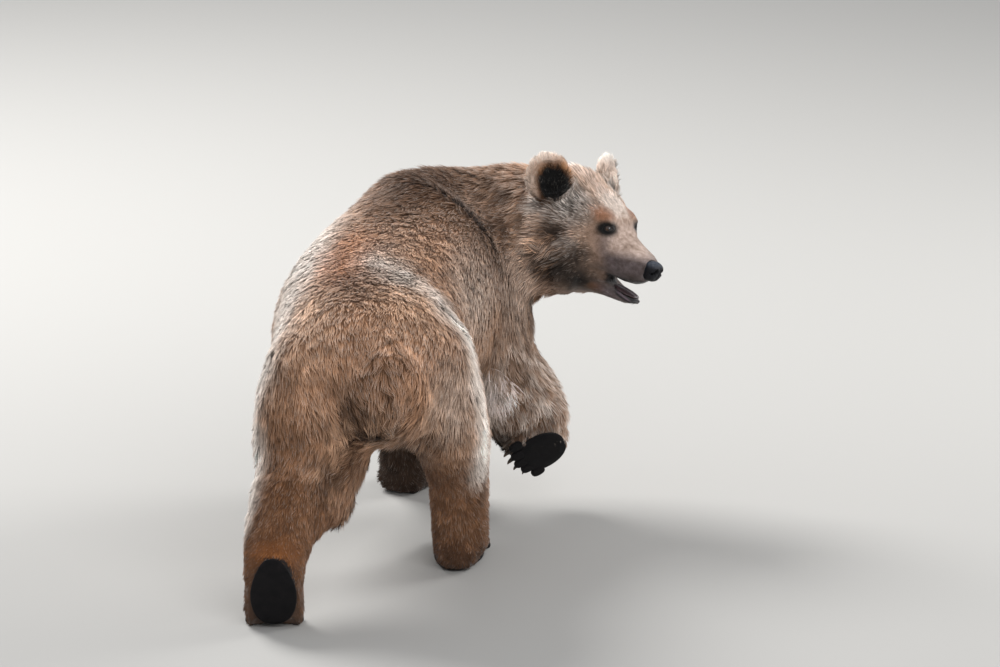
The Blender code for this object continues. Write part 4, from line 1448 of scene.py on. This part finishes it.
def buildTufts(name, roots, spine, side, tints):
    count, levels, _ = spine.shape
    rings = levels - 1
    normal, width = roots["normal"], roots["width"][:, None]
    profile = np.interp(np.linspace(0, 1, levels), [0, 0.5, 1], tuftPlan["profile"])
    points, shades, along = [], [], []
    for ring in range(rings):
        half = side * width * profile[ring] * 0.5
        ridge = normal * width * profile[ring] * tuftPlan["ridge"]
        points += [spine[:, ring] - half, spine[:, ring] + half, spine[:, ring] + ridge]
        shades += [normal * 0.85 - side * 0.5, normal * 0.85 + side * 0.5, normal]
        along += [ring / rings] * 3
    points.append(spine[:, rings])
    shades.append(normal)
    along.append(1.0)
    points, shades = np.stack(points, 1), unit(np.stack(shades, 1))
    points[:, :, 2] = np.maximum(points[:, :, 2], tuftPlan["lowest"])
    each = points.shape[1]
    sizes, flat, places = tuftFaces(rings)
    loops = (np.arange(count)[:, None] * each + flat[None]).ravel()
    totals = np.tile(sizes, count)
    mesh = bpy.data.meshes.new(name)
    mesh.vertices.add(count * each)
    mesh.loops.add(len(loops))
    mesh.polygons.add(len(totals))
    mesh.vertices.foreach_set("co", points.astype(np.float32).ravel())
    mesh.loops.foreach_set("vertex_index", loops.astype(np.int32))
    mesh.polygons.foreach_set("loop_start", (np.cumsum(totals) - totals).astype(np.int32))
    layer = mesh.uv_layers.new(name="OFBake")
    spots = roots["uv"][:, None, :] + (places[None] - 0.5) * tuftPlan["patch"]
    layer.data.foreach_set("uv", spots.astype(np.float32).ravel())
    mesh.update(calc_edges=True)
    paint(mesh, "coatTone", np.repeat(tints["tone"], each, 0))
    paint(mesh, "hairShade", np.repeat(tints["shade"], each))
    paint(mesh, "paleTip", np.repeat(tints["pale"], each))
    paint(mesh, "alongHair", np.tile(along, count))
    mesh.shade_smooth()
    mesh.normals_split_custom_set_from_vertices(shades.reshape(-1, 3).astype(np.float32))
    return linked(name, mesh)


def paleAt(roots):  # how pale a tuft's tip gets
    point = roots["point"]
    local = toHead(point)
    mirrored = mirror(local)
    onHead = np.isin(roots["owner"], ("head", "jaw"))
    pale = 0.16 + 0.28 * noiseAt(point, 0.12, 21.0, 1)
    pale += 0.60 * onHead * blob(mirrored, (1, 10, 6), (9, 9, 8))
    pale += 0.40 * np.char.startswith(roots["owner"], "forearm_right")
    pale += 0.2 * smooth(point[:, 2], 0.5, 0.8)
    pale *= smooth(roots["tone"].mean(1), 0.02, 0.22)
    return np.clip(pale, 0, 1)


def furFinish():
    fur = Finish("fur", roughness=0.6, specular=0.15, Sheen_Weight=0.07, Sheen_Roughness=0.4)
    along = fur.attribute("alongHair")
    shade = fur.attribute("hairShade")
    base = fur.attribute("coatTone", "Color")
    # darker towards the root: partly darker hair near the skin, partly painted shade down among the tufts
    dark = fur.mix(1.0, base, (0.46, 0.41, 0.37), "MULTIPLY")
    body = fur.mix(along.span(0.0, 0.60), dark, base)
    tip = fur.mix(0.72, base, tuple(tone("cream")))
    tipped = fur.mix(along.span(0.55, 1.0) * fur.attribute("paleTip"), body, tip)
    streak = fur.noise(420, 2.0).span(0.3, 0.7, -0.12, 0.12)
    light = (shade + streak + 1.0) * 0.5
    grey = fur.add("ShaderNodeCombineColor", {}, {0: light, 1: light, 2: light})
    fur.set("Base Color", fur.mix(1.0, fur.mix(1.0, tipped, grey, "MULTIPLY"), (2.0, 2.0, 2.0), "MULTIPLY"))
    fur.roughen(fur.noise(200, 2.0), 0.55, 0.75)
    return fur.material


def skinFinish():
    hide = Finish("undercoat", roughness=0.8, specular=0.2, Sheen_Weight=0.2, Sheen_Roughness=0.5)
    base = hide.attribute("coatTone", "Color")
    bare = hide.attribute("bareSkin")
    fibre = hide.noise(620, 4.0, 0.65)
    shaded = hide.mix(fibre.span(0.35, 0.65), hide.mix(1.0, base, (0.40, 0.36, 0.33), "MULTIPLY"), base)
    leather = hide.mix(hide.noise(300, 3.0), (0.005, 0.004, 0.004), (0.020, 0.016, 0.016))
    # a painted reflection of light on the lower lip's wet edge
    leather = hide.mix(hide.attribute("paintedLipReflection"), leather, (0.19, 0.13, 0.16))
    hide.set("Base Color", hide.mix(bare, shaded, leather))
    hide.set("Roughness", bare.span(0, 1, 0.85, 0.42))
    hide.bump(fibre + hide.cells(900) * bare, 0.0015, 0.6)
    return hide.material


skin = makeSkin()
settings = dressSkin(skin)
skinPoints = readPoints(skin.data)
inMouth, paintedLipReflection = lipAt(skinPoints)
settings["bare"] = np.clip(np.maximum(settings["lidRim"], inMouth), 0, 1)
for footPlace in footPlaces:  # bare under the pads
    onSole = settings["owner"] == f"sole_{footPlace}"
    centre, forward, across, up, halfLong, halfWide = footAxes(footPlace)
    offset = skinPoints - centre
    for ahead, aside, long, wide, narrow in solePads[footPlace]:
        u = (offset @ forward) / halfLong - ahead
        v = (offset @ across) / halfWide - aside
        under = smooth((np.abs(u) / long) ** 2.5 + (np.abs(v) / wide) ** 2.5, 1.05, 0.8)
        settings["bare"] = np.maximum(settings["bare"], onSole * under)
unwrapSkin(skin)
settings["tone"] = toneAt(skinPoints, settings["owner"], readEdges(skin.data))
paint(skin.data, "coatTone", mottled(settings["tone"], toneShades(skinPoints), skinPoints))
paint(skin.data, "bareSkin", settings["bare"])
paint(skin.data, "paintedLipReflection", paintedLipReflection)
print("skin", len(skinPoints), "points", len(readTriangles(skin.data)[0]), "triangles")
fit(skin, skinFinish(), "coat_body", *fleshNodes)

print("laying the coat")
looseTuft = {
    "place": (0.57, 0.69, 0.38),
    "way": (0.45, -0.35, -0.8),
    "faces": (0.5, -1.0, 0.2),
    "count": 420,
    "length": 0.078,
    "lift": 16,
}


def addLooseTuft(roots):  # a pale lock of the old coat that hangs by the right elbow
    far = sizeOf(roots["point"] - inBody(*looseTuft["place"]))
    seen = roots["normal"] @ unit(np.array(looseTuft["faces"]))
    near = np.argsort(far + (seen < 0.2))[: looseTuft["count"]]
    extra = takeRows(roots, near)
    way = unit(np.array(looseTuft["way"])) + rng.normal(0, 0.16, (len(near), 3))
    extra["way"] = alongSurface(way, extra["normal"])
    extra["length"][:] = looseTuft["length"]
    extra["lift"][:] = looseTuft["lift"]
    extra["tone"][:] = tone("moult")
    return {word: np.concatenate([values, extra[word]]) for word, values in roots.items()}


coatPieces = {
    "coat_head": ("head",),
    "coat_ears_jaw": ("ear", "jaw"),
    "coat_neck": ("neck",),
    "coat_chest": ("chest",),
    "coat_barrel": ("barrel",),
    "coat_hips": ("hips", "tail"),
    "coat_thigh_left": ("thigh_left",),
    "coat_thigh_right": ("thigh_right",),
    "coat_shanks": ("shank",),
    "coat_arm_left": ("upper_arm_left", "forearm_left"),
    "coat_arm_right": ("upper_arm_right", "forearm_right"),
    "coat_feet": ("hind_foot", "forepaw", "sole"),
}
fur = furFinish()
allRoots = addLooseTuft(scatterRoots(skin, settings))
print("tufts", len(allRoots["point"]))


def layCoat(name, starts):
    owner = allRoots["owner"]
    mine = np.zeros(len(owner), bool)
    for start in starts:
        mine |= np.char.startswith(owner, start)
    roots = takeRows(allRoots, mine)
    rings = tuftPlan["rings"]
    spine, side = growSpines(roots, rings)
    clump = gatherClumps(roots, spine)
    mottle = toneShades(roots["point"])
    onHead = np.isin(roots["owner"], ("head", "jaw"))
    lock = rng.normal(0, 0.15, len(clump))[clump]
    tints = {
        "tone": mottled(roots["tone"], mottle * 0.4 + mottle[clump] * 0.6, roots["point"]),
        "shade": np.clip(rng.normal(0, 0.12, len(clump)) * (1 + 1.6 * onHead) + lock, -0.7, 0.8),
        "pale": np.clip(paleAt(roots) + rng.normal(0, 0.18, len(clump)), 0, 1),
    }
    each = 1 + 6 * (rings - 1) + 3  # triangles in a tuft
    pieces = math.ceil(len(clump) * each / tuftPlan["most"])
    for piece in range(pieces):
        part = slice(piece, None, pieces)
        label = name if pieces == 1 else f"{name}_{piece + 1}"
        made = buildTufts(label, takeRows(roots, part), spine[part], side[part], takeRows(tints, part))
        fit(made, fur, "coat_head" if "head" in name or "ear" in name else "coat_body")
    print(name, len(clump), "tufts in", pieces, "pieces,", len(clump) * each, "triangles")


for coatName, coatStarts in coatPieces.items():
    layCoat(coatName, coatStarts)


# floor, light and camera
view = {
    "lens": 300,
    "sensor": 36,
    "elevation": 15.0,
    "distance": 22.22,
    "aim": (0.1153, -0.2014, 0.6556),
    "floor": (0.37, 0.365, 0.355),
    "floorHalf": 45.0,
    "sky": (0.80, 0.82, 0.85, 1),
    "skyStrength": 0.52,
}
lights = {  # a disc's place, size, power and colour
    "sky": ((-3.5, 4.5, 5.5), 3.5, 820, (1.0, 0.99, 0.97)),
    "front": ((2.0, -6.5, 4.5), 6.0, 330, (1.0, 0.99, 0.98)),
    "side": ((5.0, 2.5, 3.5), 3.0, 230, (1.0, 0.99, 0.97)),
}
lightAim = (0, 0, 0.55)


def addFloor():
    half = view["floorHalf"]
    corners = [(-half, -half, 0), (half, -half, 0), (half, half, 0), (-half, half, 0)]
    floor = addObject("floor", corners, [(0, 1, 2, 3)])
    finish = Finish("floor_finish", roughness=0.9, specular=0.5, Base_Color=view["floor"])
    floor.data.materials.append(finish.material)


def addArea(name, place, size, power, colour):
    light = bpy.data.lights.new(name, "AREA")
    light.shape = "DISK"
    light.size = size
    light.energy = power
    light.color = colour
    made = linked(name, light)
    made.location = place
    made.rotation_euler = (Vector(lightAim) - Vector(place)).to_track_quat("-Z", "Y").to_euler()


def addCamera():
    camera = bpy.data.cameras.new("camera")
    camera.lens = view["lens"]
    camera.sensor_width = view["sensor"]
    camera.clip_end = 200
    made = linked("camera", camera)
    pitch = math.radians(view["elevation"])
    look = Vector((0, math.cos(pitch), -math.sin(pitch)))
    made.location = Vector(view["aim"]) - look * view["distance"]
    made.rotation_euler = look.to_track_quat("-Z", "Y").to_euler()
    scene.camera = made


addFloor()
for lightName, how in lights.items():
    addArea(lightName, *how)
addCamera()
world = bpy.data.worlds.new("studio")
world.use_nodes = True
sky = world.node_tree.nodes["Background"]
sky.inputs["Color"].default_value = view["sky"]
sky.inputs["Strength"].default_value = view["skyStrength"]
scene.world = world
scene.view_settings.view_transform = "Standard"
